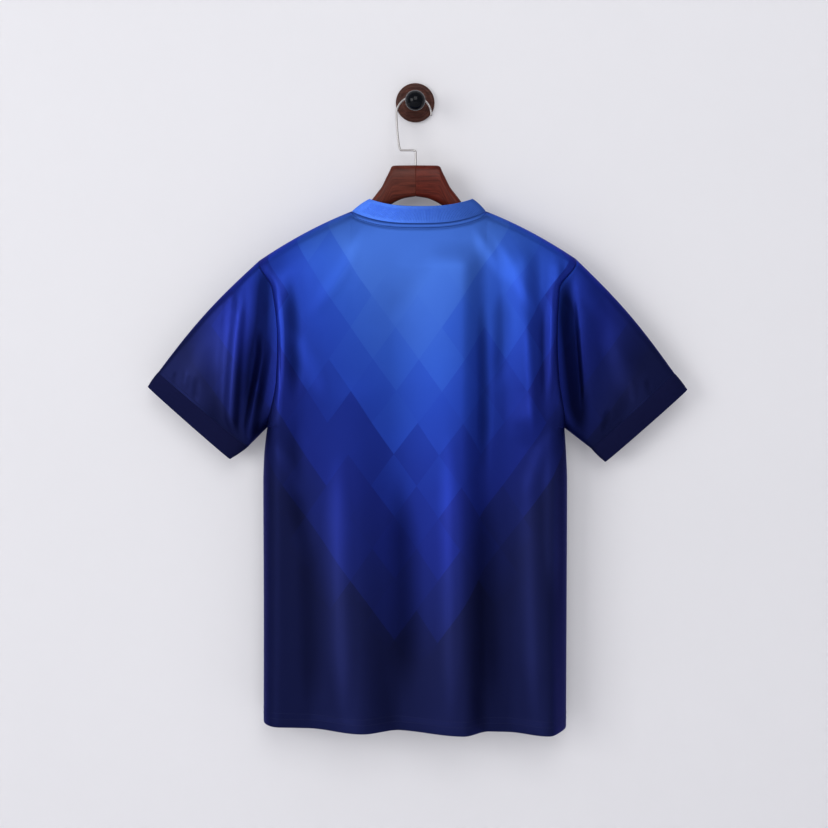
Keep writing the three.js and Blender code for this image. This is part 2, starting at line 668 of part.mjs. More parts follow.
// The hook's middle line, from its free end over the knob and down into the hanger
class HookLine extends THREE.Curve {
  constructor() {
    super();
    const path = new THREE.CurvePath();
    const at = (x, z) => new THREE.Vector3(x, HANG_Y, z);
    const arc = [];
    for (let i = 0; i <= HOOK.steps; i += 1) {
      const angle = radians(mix(HOOK.endAngle, HOOK.leftAngle, i / HOOK.steps));
      arc.push(at(HOOK.x + HOOK.radius * Math.cos(angle), HOOK.z + HOOK.radius * Math.sin(angle)));
    }
    const { leftX, leftZ, lowX, z, rightX, bend } = HOOK_KINK;
    const foot = HANGER_SECTIONS[0].top - HOOK_BORE.depth + HOOK_BORE.foot;
    const bent = (from, corner, to) => path.add(new THREE.QuadraticBezierCurve3(from, corner, to));
    const straight = (from, to) => path.add(new THREE.LineCurve3(from, to));
    path.add(new THREE.CatmullRomCurve3([...arc, at(leftX, leftZ)]));
    bent(at(leftX, leftZ), at(lowX, z), at(lowX + bend, z));
    straight(at(lowX + bend, z), at(rightX - bend, z));
    bent(at(rightX - bend, z), at(HANGER_X, z), at(HANGER_X, z - bend));
    straight(at(HANGER_X, z - bend), at(HANGER_X, foot));
    this.path = path;
  }

  getPoint(share, target = new THREE.Vector3()) {
    return target.copy(this.path.getPointAt(share));
  }
}

function hookGeometry() {
  const section = new THREE.Shape();
  for (let k = 0; k < WIRE_SIDES; k += 1) {
    const angle = (2 * Math.PI * (k + 0.5)) / WIRE_SIDES;
    const place = [WIRE * Math.cos(angle), WIRE * Math.sin(angle)];
    if (k === 0) section.moveTo(...place);
    else section.lineTo(...place);
  }
  section.closePath();
  const along = { extrudePath: new HookLine(), steps: WIRE_STEPS, bevelEnabled: false };
  return new THREE.ExtrudeGeometry(section, along);
}

// A piece turned round the knob's axis: its profile is [distance from the wall, radius]
function turned(profile) {
  const points = profile.map(([out, radius]) => new THREE.Vector2(radius, out));
  const merged = welded(new THREE.LatheGeometry(points, TURNED_SIDES).rotateX(Math.PI));
  const corners = [];
  for (let i = 0; i < merged.attributes.position.count; i += 1) {
    corners.push(new THREE.Vector3().fromBufferAttribute(merged.attributes.position, i));
  }
  const index = merged.index.array;
  const faces = [];
  for (let f = 0; f < index.length; f += 3) {
    const [a, b, c] = [index[f], index[f + 1], index[f + 2]];
    if (a !== b && b !== c && c !== a) faces.push(a, b, c);
  }
  return solidGeometry(corners, faces);
}

function rosetteGeometry() {
  const { radius, thick, lip, dish } = ROSETTE;
  const rim = ROSETTE_PROFILE.map((row) => [row.thick * thick, radius + row.lip * lip]);
  return turned([[0, 0], ...rim, [ROSETTE_COVE * thick, dish + lip], [thick, dish], [thick, 0]]);
}

function knobGeometry() {
  const { stem, ball, ballY, foot, footLength, taper, steps } = KNOB;
  const start = ROSETTE.thick + SEAM_GAP;
  const footEnd = start + footLength;
  const profile = [[start, 0], [start, stem + foot], [footEnd, stem + foot], [footEnd + taper, stem]];
  const neck = Math.asin(stem / ball);
  for (let i = 0; i <= steps; i += 1) {
    const angle = mix(neck, Math.PI, i / steps);
    const radius = i === steps ? 0 : ball * Math.sin(angle);
    profile.push([-ballY - ball * Math.cos(angle), radius]);
  }
  return turned(profile);
}

const materials = {
  royal: { color: 0x1a4fc0, roughness: 0.55, metalness: 0 },
  navy: { color: 0x10164f, roughness: 0.6, metalness: 0 },
  azure: { color: 0x2b64d0, roughness: 0.75, metalness: 0 },
  walnut: { color: 0x5a2c1e, roughness: 0.4, metalness: 0 },
  steel: { color: 0xb8babd, roughness: 0.25, metalness: 1 },
  gloss_black: { color: 0x0b0d12, roughness: 0.1, metalness: 0 },
};

const jersey = new THREE.Group();

function add(name, geometry, material) {
  const mesh = new THREE.Mesh(geometry, new THREE.MeshStandardMaterial(materials[material]));
  mesh.name = name;
  jersey.add(mesh);
}

for (const [name, panel] of [['back_panel', back], ['front_panel', front]]) {
  const inner = innerPoints(panel.points, panel.normals, KNIT);
  add(name, wallGeometry(panel.points, inner, false), 'royal');
}
for (const name of Object.keys(SLEEVES)) {
  const { sleeve, cuff } = sleeveAndCuff(name);
  add(`sleeve_${name}`, sleeve, 'royal');
  add(`cuff_${name}`, cuff, 'navy');
}
add('collar', collarGeometry(), 'azure');
add('hanger', hangerGeometry(), 'walnut');
add('hook', hookGeometry(), 'steel');
add('rosette', rosetteGeometry(), 'walnut');
add('knob', knobGeometry(), 'gloss_black');

export default jersey;
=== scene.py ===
"""Dresses the hanging football jersey: knit panels, stitching, hanger, hook, wall knob and studio.

Sizes are in millimetres and become metres when a mesh is made, +Z up. The wall is the plane
y = 0 and the jersey hangs in front of it, its back turned to the viewer, towards -Y.
"""

from __future__ import annotations

import logging
import math
from dataclasses import dataclass, field
from enum import Enum

import bpy
import numpy as np
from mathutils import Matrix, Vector


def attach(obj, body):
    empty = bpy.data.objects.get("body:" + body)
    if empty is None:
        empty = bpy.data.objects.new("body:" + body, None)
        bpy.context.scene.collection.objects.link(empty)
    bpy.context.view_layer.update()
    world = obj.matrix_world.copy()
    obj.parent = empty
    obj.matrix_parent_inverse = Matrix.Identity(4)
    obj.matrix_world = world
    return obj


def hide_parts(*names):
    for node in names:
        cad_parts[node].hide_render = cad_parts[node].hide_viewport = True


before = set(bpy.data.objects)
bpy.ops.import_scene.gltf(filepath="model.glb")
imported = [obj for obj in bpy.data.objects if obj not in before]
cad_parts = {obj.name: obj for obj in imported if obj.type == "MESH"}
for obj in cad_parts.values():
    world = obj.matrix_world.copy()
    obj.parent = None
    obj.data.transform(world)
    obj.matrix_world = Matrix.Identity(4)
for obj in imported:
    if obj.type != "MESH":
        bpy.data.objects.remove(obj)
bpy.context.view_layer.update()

LOG = logging.getLogger("jersey")
MM = 0.001
TINY = 1e-9
HARD_EDGE = 60.0
TURNED_EDGE = 40.0
Array = np.ndarray
Point = tuple[float, float]
Place = tuple[float, float, float]
Color = tuple[float, float, float]
Socket = bpy.types.NodeSocket
Material = bpy.types.Material
Piece = bpy.types.Object


def mix(low: Array | float, high: Array | float, share: Array | float) -> Array | float:
    """Value between low and high."""
    return low + (high - low) * share


def clamp(value: Array | float) -> Array:
    """Value held between 0 and 1."""
    return np.clip(value, 0.0, 1.0)


def smooth(value: Array | float) -> Array:
    """Soft step from 0 to 1."""
    held = clamp(value)
    return held * held * (3 - 2 * held)


def quarter(value: Array | float) -> Array:
    """Quarter circle, steep at 0 and level from 1 on."""
    return np.sqrt(1 - (1 - clamp(value)) ** 2)


def unit(vectors: Array) -> Array:
    """Vectors brought to length 1."""
    length = np.linalg.norm(vectors, axis=-1, keepdims=True)
    return vectors / np.maximum(length, TINY)


def hump(value: Array) -> Array:
    """Round hump, 1 at 0 and level ground from 1 out."""
    return 0.5 * (1 + np.cos(np.pi * np.minimum(1, np.abs(value))))


def signed_power(value: Array, power: float) -> Array:
    """Power of a value that keeps its sign."""
    return np.sign(value) * np.abs(value) ** power


def closed(rows: Array) -> Array:
    """Rows with the first one again at their end."""
    return np.concatenate([rows, rows[:1]])


def way_along(points: Array, axis: int = 0) -> Array:
    """Way from the first point to each, along one axis of a grid of points.

    Args:
        points: the grid, with x, y and z last.
        axis: the axis along which to go.

    Returns:
        The lengths, without the last axis.
    """
    steps = np.linalg.norm(np.diff(points, axis=axis), axis=-1)
    start = np.zeros_like(np.take(steps, [0], axis=axis))
    return np.concatenate([start, np.cumsum(steps, axis=axis)], axis=axis)


class Track:
    """A smooth line through the rows of a table, which never overshoots them."""

    def __init__(self, at: list[float], values: list[float]) -> None:
        """Stores the rows in rising order and works out the slope at each.

        Args:
            at: where each row stands.
            values: what each row holds.
        """
        order = np.argsort(at)
        self.at = np.array(at, float)[order]
        self.values = np.array(values, float)[order]
        rise = np.diff(self.values) / np.diff(self.at)
        product = rise[:-1] * rise[1:]
        total = np.where(product > 0, rise[:-1] + rise[1:], 1.0)
        inner = np.where(product > 0, 2 * product / total, 0.0)
        self.slopes = np.concatenate([rise[:1], inner, rise[-1:]])

    def __call__(self, place: Array | float) -> Array:
        """Value of the line at each place.

        Args:
            place: where to read the line.

        Returns:
            The values, in the same shape.
        """
        held = np.clip(place, self.at[0], self.at[-1])
        row = np.clip(np.searchsorted(self.at, held) - 1, 0, len(self.at) - 2)
        span = self.at[row + 1] - self.at[row]
        t = (held - self.at[row]) / span
        line = self.values[row] * (1 + 2 * t) * (1 - t) ** 2 + self.values[row + 1] * t * t * (3 - 2 * t)
        bend = self.slopes[row] * (1 - t) - self.slopes[row + 1] * t
        return line + span * t * (1 - t) * bend


@dataclass(frozen=True)
class Fold:
    """One large soft fold: its ridge line, its reach to the left and right, and its rise."""

    top: Point
    low: Point
    left: float
    right: float
    rise: Point

    FADE = 45.0

    def height(self, x: Array, z: Array) -> Array:
        """How far the fold stands out at points of the hanging plane.

        Args:
            x: across.
            z: height.

        Returns:
            Rise in millimetres.
        """
        length = self.top[1] - self.low[1]
        below = self.top[1] - z
        share = clamp(below / length)
        fade = smooth(1 + below / self.FADE) * smooth(1 + (length - below) / self.FADE)
        middle = mix(self.top[0], self.low[0], share)
        reach = np.where(x < middle, self.left, self.right)
        return fade * hump((x - middle) / reach) * mix(self.rise[0], self.rise[1], share)


@dataclass(frozen=True)
class Crease:
    """One fine crease along a line, fading out towards both of its ends."""

    start: Point
    end: Point
    width: float
    rise: float
    bow: float = 0.0

    TAPER = 3.2
    END_WIDTH = 0.55
    MORE_WIDTH = 0.45

    def height(self, x: Array, z: Array) -> Array:
        """How far the crease stands out at points of the hanging plane.

        Args:
            x: across.
            z: height.

        Returns:
            Rise in millimetres, negative for a trough.
        """
        way = np.array(self.end) - np.array(self.start)
        length = float(np.hypot(*way))
        way = way / length
        dx, dz = x - self.start[0], z - self.start[1]
        along = (dx * way[0] + dz * way[1]) / length
        aside = dz * way[0] - dx * way[1] - self.bow * np.sin(np.pi * clamp(along))
        taper = smooth(np.minimum(along, 1 - along) * self.TAPER)
        width = self.width * (self.END_WIDTH + self.MORE_WIDTH * taper)
        return self.rise * taper * hump(aside / width)


def raised(forms: tuple[Fold | Crease, ...], x: Array, z: Array) -> Array:
    """How far folds or creases stand out together."""
    return sum(form.height(x, z) for form in forms)


@dataclass(frozen=True)
class Neckline:
    """How a panel's neck line drops from the neck points."""

    drop: float
    round: float
    power: float


@dataclass(frozen=True)
class Face:
    """One body panel's own sizes: which way it faces, its neck line and its folds."""

    side: int
    neck: Neckline
    depth: Track
    folds: tuple[Fold, ...]
    creases: tuple[Crease, ...]


SECTION_Z = [-150, -220, -257, -325, -380, -423, -449, -490, -530, -695, -890]


def by_section(*values: float) -> Track:
    """A line through one value for each height in SECTION_Z."""
    return Track(SECTION_Z, list(values))


@dataclass
class Form:
    """The jersey's shape on its hanger, from the sizes that its solids have."""

    hang_y: float = -38.0
    neck_x: float = 5.0
    neck_half: float = 93.0
    neck_point_z: float = -150.5
    neck_crown: float = 30.0
    shoulder_slope: float = 0.385
    shoulder_curve: float = 0.00112
    roll_neck: float = 12.0
    roll_tip: float = 20.0
    roll_from: float = 60.0
    roll_over: float = 150.0
    roll_drop: float = 12.0
    roll_ease: float = 55.0
    hem_mid_z: float = -877.5
    hem_tilt: float = -0.018
    underarm_share: float = 0.354
    armhole_flat: float = 0.74
    armhole_round: float = 40.0
    seam_gap: float = 0.3
    left: Track = by_section(-217, -217, -197, -190, -192, -200, -209, -213, -214, -215, -217)
    right: Track = by_section(223, 223, 199, 196, 199, 206, 211, 213, 214, 215, 216)
    turn: Track = by_section(50, 50, 50, 50, 50, 62, 90, 90, 90, 90, 90)
    corner: Track = by_section(22, 22, 17, 16, 16, 20, 24, 27, 28, 28, 26)
    tuck: Track = by_section(0, 0, 0, 0, 0, 0, 3, 1, 0, 0, 0)

    def ridge_z(self, x: Array) -> Array:
        """Height of the line over which the cloth hangs.

        Args:
            x: across.

        Returns:
            Heights in the same shape.
        """
        out = np.abs(x - self.neck_x) - self.neck_half
        crown = self.neck_crown * (1 - ((x - self.neck_x) / self.neck_half) ** 2)
        slope = -self.shoulder_slope * out - self.shoulder_curve * out * out
        return self.neck_point_z + np.where(out < 0, crown, slope)

    def top_z(self, x: Array, neck: Neckline) -> Array:
        """Height of a panel's upper edge: the shoulder line, or the neck line within the neck.

        Args:
            x: across.
            neck: the panel's neck line.

        Returns:
            Heights in the same shape.
        """
        across = np.minimum(1, np.abs(x - self.neck_x) / self.neck_half)
        neck_z = self.neck_point_z - neck.drop * (1 - across**neck.round) ** neck.power
        return np.where(across >= 1, self.ridge_z(x), neck_z)

    def hem_z(self, x: Array) -> Array:
        """Height of the hem."""
        return self.hem_mid_z + self.hem_tilt * x

    def roll(self, x: Array) -> Array:
        """Radius of the cloth rolled over the hanger's arm."""
        out = (np.abs(x - self.neck_x) - self.roll_from) / self.roll_over
        return mix(self.roll_neck, self.roll_tip, clamp(out))

    def face_depth(self, face: Face, x: Array, z: Array) -> Array:
        """Depth of a panel's open face from the hanging plane.

        Args:
            face: the panel.
            x: across.
            z: height.

        Returns:
            Depth in millimetres, creases not included.
        """
        drop = np.maximum(0, self.ridge_z(x) - z)
        full = face.depth(z) + raised(face.folds, x, z)
        roll = self.roll(x)
        eased = 1 - np.exp(-drop / self.roll_ease)
        return roll * quarter(drop / self.roll_drop) + (full - roll) * eased

    def flat_end(self, side: int, z: Array) -> Array:
        """Where the open width ends and the corner begins, on one side."""
        edge = self.left(z) if side < 0 else self.right(z)
        return edge - side * self.corner(z) * np.sin(np.radians(self.turn(z)))

    def shoulder_normal(self, x: Array) -> Array:
        """Directions into the garment across the shoulder line."""
        slope = (self.ridge_z(x + 1) - self.ridge_z(x - 1)) / 2
        return unit(np.stack([slope, np.zeros_like(slope), -np.ones_like(slope)], axis=-1))


FORM = Form()

BACK_FOLDS = (
    Fold((-194, -240), (-196, -430), 18, 46, (9, 6)),
    Fold((-92, -420), (-75, -900), 78, 56, (2, 27)),
    Fold((61, -230), (67, -900), 100, 38, (11, 28)),
    Fold((147, -225), (156, -430), 34, 26, (10, 8)),
    Fold((172, -440), (187, -900), 58, 30, (4, 20)),
    Fold((196, -235), (194, -320), 15, 10, (5, 3)),
)
BACK_CREASES = (
    Crease((-70, -165), (-150, -300), 18, 0.8, 6),
    Crease((78, -166), (140, -260), 14, 1.2, -5),
    Crease((110, -180), (172, -300), 14, 1.4, -4),
    Crease((120, -250), (112, -400), 16, -1.6, 3),
    Crease((150, -290), (160, -470), 9, 1.8, 3),
    Crease((92, -260), (96, -520), 14, -2.2, 2),
    Crease((-180, -300), (-120, -420), 18, 1.3, 6),
    Crease((-168, -420), (-150, -640), 20, -1.8, -5),
    Crease((-200, -470), (-150, -560), 16, 1.2, 6),
    Crease((196, -440), (150, -560), 15, 1.3, -6),
    Crease((-22, -500), (-14, -860), 30, -3.0, 4),
    Crease((-104, -470), (-100, -885), 26, 3.4, -4),
    Crease((46, -440), (50, -885), 24, 3.6, 3),
    Crease((102, -500), (114, -885), 24, -2.0, -3),
    Crease((160, -500), (166, -885), 22, 2.4, -3),
    Crease((187, -440), (193, -700), 15, 3.2),
    Crease((-150, -560), (-146, -880), 22, -1.8, 3),
    Crease((20, -190), (-40, -300), 26, -0.4, 5),
    Crease((-191, -236), (-190, -440), 7, 2.6, 2),
    Crease((-188, -296), (-186, -400), 2.2, -1.1, 1),
    Crease((-193, -300), (-192, -420), 2.0, -1.0),
    Crease((-172, -230), (-166, -420), 16, -3.0, 3),
    Crease((186, -250), (184, -420), 7, 2.2, 2),
    Crease((176, -270), (178, -420), 6, -2.0, -1),
)
FRONT_FOLDS = (
    Fold((-150, -240), (-160, -470), 34, 44, (4, 4)),
    Fold((-60, -330), (-92, -900), 60, 50, (-2, -7)),
    Fold((40, -300), (22, -900), 52, 60, (2, 5)),
    Fold((110, -320), (128, -900), 54, 46, (-2, -7)),
)
FRONT_CREASES = (
    Crease((-80, -190), (-150, -330), 16, 1.2, 6),
    Crease((84, -190), (150, -320), 14, 1.2, -6),
    Crease((-170, -330), (-110, -470), 18, -1.2, 6),
    Crease((30, -260), (18, -520), 22, 1.1, 5),
    Crease((170, -420), (120, -600), 18, 1.2, -6),
    Crease((-130, -560), (-120, -840), 20, 1.3, -4),
    Crease((70, -560), (60, -860), 18, 1.2, 4),
)
BACK_DEPTH = by_section(46, 46, 46, 46, 46, 45, 44, 43, 42, 39, 37)
FRONT_DEPTH = by_section(27, 27, 27, 27, 27, 27, 27, 26, 26, 25, 24)
BACK = Face(-1, Neckline(16.2, 2.7, 1.0), BACK_DEPTH, BACK_FOLDS, BACK_CREASES)
FRONT = Face(1, Neckline(84.0, 2.2, 0.75), FRONT_DEPTH, FRONT_FOLDS, FRONT_CREASES)


def grid_normals(points: Array, wraps: bool, inside: Array) -> Array:
    """Unit normals of a grid of points.

    Args:
        points: columns by rows by 3.
        wraps: the last column meets the first.
        inside: for each point, a place on the side to which the normals turn.

    Returns:
        Normals in the same shape.
    """
    if wraps:
        before, after = np.roll(points, 1, axis=0), np.roll(points, -1, axis=0)
    else:
        wide = np.concatenate([points[:1], points, points[-1:]])
        before, after = wide[:-2], wide[2:]
    tall = np.concatenate([points[:, :1], points, points[:, -1:]], axis=1)
    normals = unit(np.cross(after - before, tall[:, 2:] - tall[:, :-2]))
    return normals if np.sum(normals * unit(inside - points)) > 0 else -normals


@dataclass
class Shell:
    """A thin closed cloth wall: outer and inner points, the cloth's coordinates and its relief, a mark of
    painted shade and highlight.
    """

    outer: Array
    inner: Array
    cloth: Array
    wraps: bool
    relief: Array
    rounding: int = 0

    SHARP = 50.0

    def sections(self) -> Array:
        """Closed section of each column: down the outside, round the edge and up the inside.

        Returns:
            Columns by points of a section by 3.
        """
        parts = [self.outer]
        if self.rounding:
            way = unit(self.outer[:, -1] - self.outer[:, -2])
            middle = (self.outer[:, -1] + self.inner[:, -1]) / 2
            reach = (self.outer[:, -1] - self.inner[:, -1]) / 2
            half = np.linalg.norm(reach, axis=1, keepdims=True)
            angles = np.pi * np.arange(1, self.rounding + 1) / (self.rounding + 1)
            edge = [middle + reach * math.cos(a) + way * half * math.sin(a) for a in angles]
            parts.append(np.stack(edge, 1))
        parts.append(self.inner[:, ::-1])
        return np.concatenate(parts, axis=1)

    def faces(self, columns: int, length: int) -> Array:
        """Quads between the sections, with a cap on each end that does not wrap.

        Args:
            columns: how many sections there are.
            length: points of one section.

        Returns:
            Corners of each face, counted past the last section where the wall wraps.
        """
        spans = columns if self.wraps else columns - 1
        c, k = np.meshgrid(np.arange(spans), np.arange(length), indexing="ij")
        below, after = (k + 1) % length, c + 1
        quads = np.stack([c * length + k, c * length + below, after * length + below, after * length + k], -1)
        quads = quads.reshape(-1, 4)
        if self.wraps:
            return quads
        low = np.arange(length // 2 - 1)
        cap = np.stack([low, length - 1 - low, length - 2 - low, low + 1], -1)
        return np.concatenate([quads, cap, cap[:, ::-1] + (columns - 1) * length])

    def make(self, name: str, material: Material) -> Piece:
        """Makes the wall as one mesh with a UV map, its relief mark of painted shade and highlight, and a
        mark on its reverse side.

        Args:
            name: the piece's name.
            material: its finish.

        Returns:
            The piece, at the origin.
        """
        sections = self.sections()
        columns, length = sections.shape[:2]
        rows = self.outer.shape[1]
        spots = self.faces(columns, length)
        faces = spots % (columns * length)
        flat = sections.reshape(-1, 3)
        corners = flat[faces]
        volume = np.sum(corners[:, 0] * np.cross(corners[:, 1], corners[:, 2]))
        volume += np.sum(corners[:, 0] * np.cross(corners[:, 2], corners[:, 3]))
        if volume < 0:
            faces, spots = faces[:, ::-1], spots[:, ::-1]
        middle = np.repeat(self.cloth[:, -1:], self.rounding, axis=1)
        cloth = np.concatenate([self.cloth, middle, self.cloth[:, ::-1]], axis=1).reshape(-1, 2)
        mesh = new_mesh(name, flat, faces.tolist())
        layer = mesh.uv_layers.new(name="cloth")
        layer.data.foreach_set("uv", (cloth[spots.reshape(-1)] * MM).ravel())
        reverse, relief = np.zeros((2, columns, length), np.float32)
        reverse[:, rows + self.rounding // 2:] = 1.0
        relief[:, :rows] = self.relief
        add_mark(mesh, "reverse", reverse)
        add_mark(mesh, "relief", relief)
        finish_mesh(mesh, material, self.SHARP)
        return place(name, mesh)


def new_mesh(name: str, points: Array, faces: list[list[int]]) -> bpy.types.Mesh:
    """Makes a mesh from points in millimetres."""
    mesh = bpy.data.meshes.new(name)
    mesh.from_pydata((points * MM).tolist(), [], faces)
    return mesh


def add_mark(mesh: bpy.types.Mesh, title: str, values: Array) -> None:
    """Gives each of a mesh's points one number, for its material to read."""
    mesh.attributes.new(title, "FLOAT", "POINT").data.foreach_set("value", values.ravel())


def tube_faces(rings: int, sides: int) -> list[list[int]]:
    """Faces of a tube of rings, with both of its ends closed.

    Args:
        rings: how many rings there are.
        sides: points of one ring.

    Returns:
        Corners of each face.
    """
    s, k = np.meshgrid(np.arange(rings - 1), np.arange(sides), indexing="ij")
    after = (k + 1) % sides
    quads = np.stack([s * sides + k, s * sides + after, (s + 1) * sides + after, (s + 1) * sides + k], -1)
    last = (rings - 1) * sides
    ends = [list(range(sides))[::-1], list(range(last, last + sides))]
    return quads.reshape(-1, 4).tolist() + ends


def finish_mesh(mesh: bpy.types.Mesh, material: Material, sharp: float) -> None:
    """Shades a mesh smooth but for its sharp edges, and gives it its material.

    Args:
        mesh: the mesh.
        material: its finish.
        sharp: edges turned by more degrees than this stay sharp.
    """
    mesh.polygons.foreach_set("use_smooth", np.ones(len(mesh.polygons), bool))
    mesh.set_sharp_from_angle(angle=math.radians(sharp))
    mesh.materials.append(material)
    mesh.update()


def place(name: str, data: bpy.types.ID) -> Piece:
    """Puts data in the scene as an object at the origin."""
    piece = bpy.data.objects.new(name, data)
    bpy.context.scene.collection.objects.link(piece)
    return piece


def finish_solid(name: str, mesh: bpy.types.Mesh, material: Material, sharp: float) -> Piece:
    """Dresses a closed mesh, turns its faces outwards if they point inwards, and places it.

    Args:
        name: the piece's name.
        mesh: the mesh.
        material: its finish.
        sharp: edges turned by more degrees than this stay sharp.

    Returns:
        The piece.
    """
    finish_mesh(mesh, material, sharp)
    mesh.calc_loop_triangles()
    spots = np.array([vertex.co for vertex in mesh.vertices])
    corners = spots[np.array([triangle.vertices for triangle in mesh.loop_triangles])]
    if np.sum(corners[:, 0] * np.cross(corners[:, 1], corners[:, 2])) < 0:
        mesh.flip_normals()
    return place(name, mesh)


class Graph:
    """Adds nodes to a node tree and links them in few words."""

    def __init__(self, tree: bpy.types.NodeTree) -> None:
        """Keeps the tree."""
        self.tree = tree

    def feed(self, node: bpy.types.Node, inputs: dict[str | int, object]) -> None:
        """Sets or links a node's inputs, named or counted; a colour may leave out its fourth number.

        Args:
            node: the node.
            inputs: values or sockets, by name or place.
        """
        for key, value in inputs.items():
            socket = node.inputs[key]
            if isinstance(value, Socket):
                self.tree.links.new(value, socket)
            elif socket.type == "RGBA" and len(value) == 3:
                socket.default_value = (*value, 1.0)
            else:
                socket.default_value = value

    def add(self, kind: str, inputs: dict[str | int, object] | None = None,
            **settings: object) -> bpy.types.Node:
        """Adds one node.

        Args:
            kind: the node's type.
            inputs: values or sockets for its inputs, by name or place.
            settings: its other properties.

        Returns:
            The node.
        """
        node = self.tree.nodes.new(kind)
        for key, value in settings.items():
            setattr(node, key, value)
        self.feed(node, inputs or {})
        return node

    def group(self, tree: bpy.types.NodeTree, inputs: dict[str | int, object]) -> bpy.types.Node:
        """Places one shared group."""
        return self.add("ShaderNodeGroup", inputs, node_tree=tree)

    def math(self, operation: str, *values: object) -> Socket:
        """Adds one Math node and gives its output."""
        return self.add("ShaderNodeMath", dict(enumerate(values)), operation=operation).outputs[0]

    def blend(self, share: object, low: object, high: object, kind: str = "MIX") -> Socket:
        """Mixes two colours and gives the mixed one."""
        node = self.add("ShaderNodeMix", {0: share, 6: low, 7: high}, data_type="RGBA", blend_type=kind)
        return node.outputs[2]

    def noise(self, where: Socket, scale: object, detail: float, **inputs: float) -> Socket:
        """Adds one Noise Texture and gives its value."""
        values = {"Vector": where, "Scale": scale, "Detail": detail, **inputs}
        return self.add("ShaderNodeTexNoise", values).outputs["Fac"]

    def bump(self, height: Socket, strength: float, distance: float) -> Socket:
        """Adds one Bump node and gives its normal."""
        values = {"Height": height, "Strength": strength, "Distance": distance}
        return self.add("ShaderNodeBump", values).outputs[0]

    def cloth(self) -> Socket:
        """Gives the cloth's own coordinates."""
        return self.add("ShaderNodeUVMap", uv_map="cloth").outputs[0]

    def where(self) -> Socket:
        """Gives Object coordinates."""
        return self.add("ShaderNodeTexCoord").outputs["Object"]

    def mark(self, title: str) -> Socket:
        """Gives a number that a mesh's points carry."""
        return self.add("ShaderNodeAttribute", attribute_name=title).outputs["Fac"]

    def ramp(self, value: object, stops: list[tuple[float, Color]]) -> Socket:
        """Adds a colour ramp.

        Args:
            value: what it reads.
            stops: places and colours.

        Returns:
            Its colour.
        """
        node = self.add("ShaderNodeValToRGB", {0: value})
        ramp = node.color_ramp
        while len(ramp.elements) < len(stops):
            ramp.elements.new(0.5)
        for element, (at, color) in zip(ramp.elements, stops):
            element.position = at
            element.color = (*color, 1.0)
        return node.outputs[0]


def node_group(name: str, ins: dict[str, float | str | None], outs: tuple[str, ...],
               out_type: str = "Float", kind: str = "ShaderNodeTree"
               ) -> tuple[Graph, bpy.types.Node, bpy.types.Node]:
    """Starts a node group with named sockets.

    Args:
        name: the group's name.
        ins: each input's name, with its number, None for a vector, or another type of socket.
        outs: each output's name.
        out_type: the outputs' type of socket.
        kind: shader or geometry tree.

    Returns:
        The group's graph, its input node and its output node.
    """
    tree = bpy.data.node_groups.new(name, kind)
    for title, value in ins.items():
        sort = value if isinstance(value, str) else "Vector" if value is None else "Float"
        socket = tree.interface.new_socket(title, in_out="INPUT", socket_type=f"NodeSocket{sort}")
        if isinstance(value, float):
            socket.default_value = value
    for title in outs:
        tree.interface.new_socket(title, in_out="OUTPUT", socket_type=f"NodeSocket{out_type}")
    graph = Graph(tree)
    return graph, graph.add("NodeGroupInput"), graph.add("NodeGroupOutput")


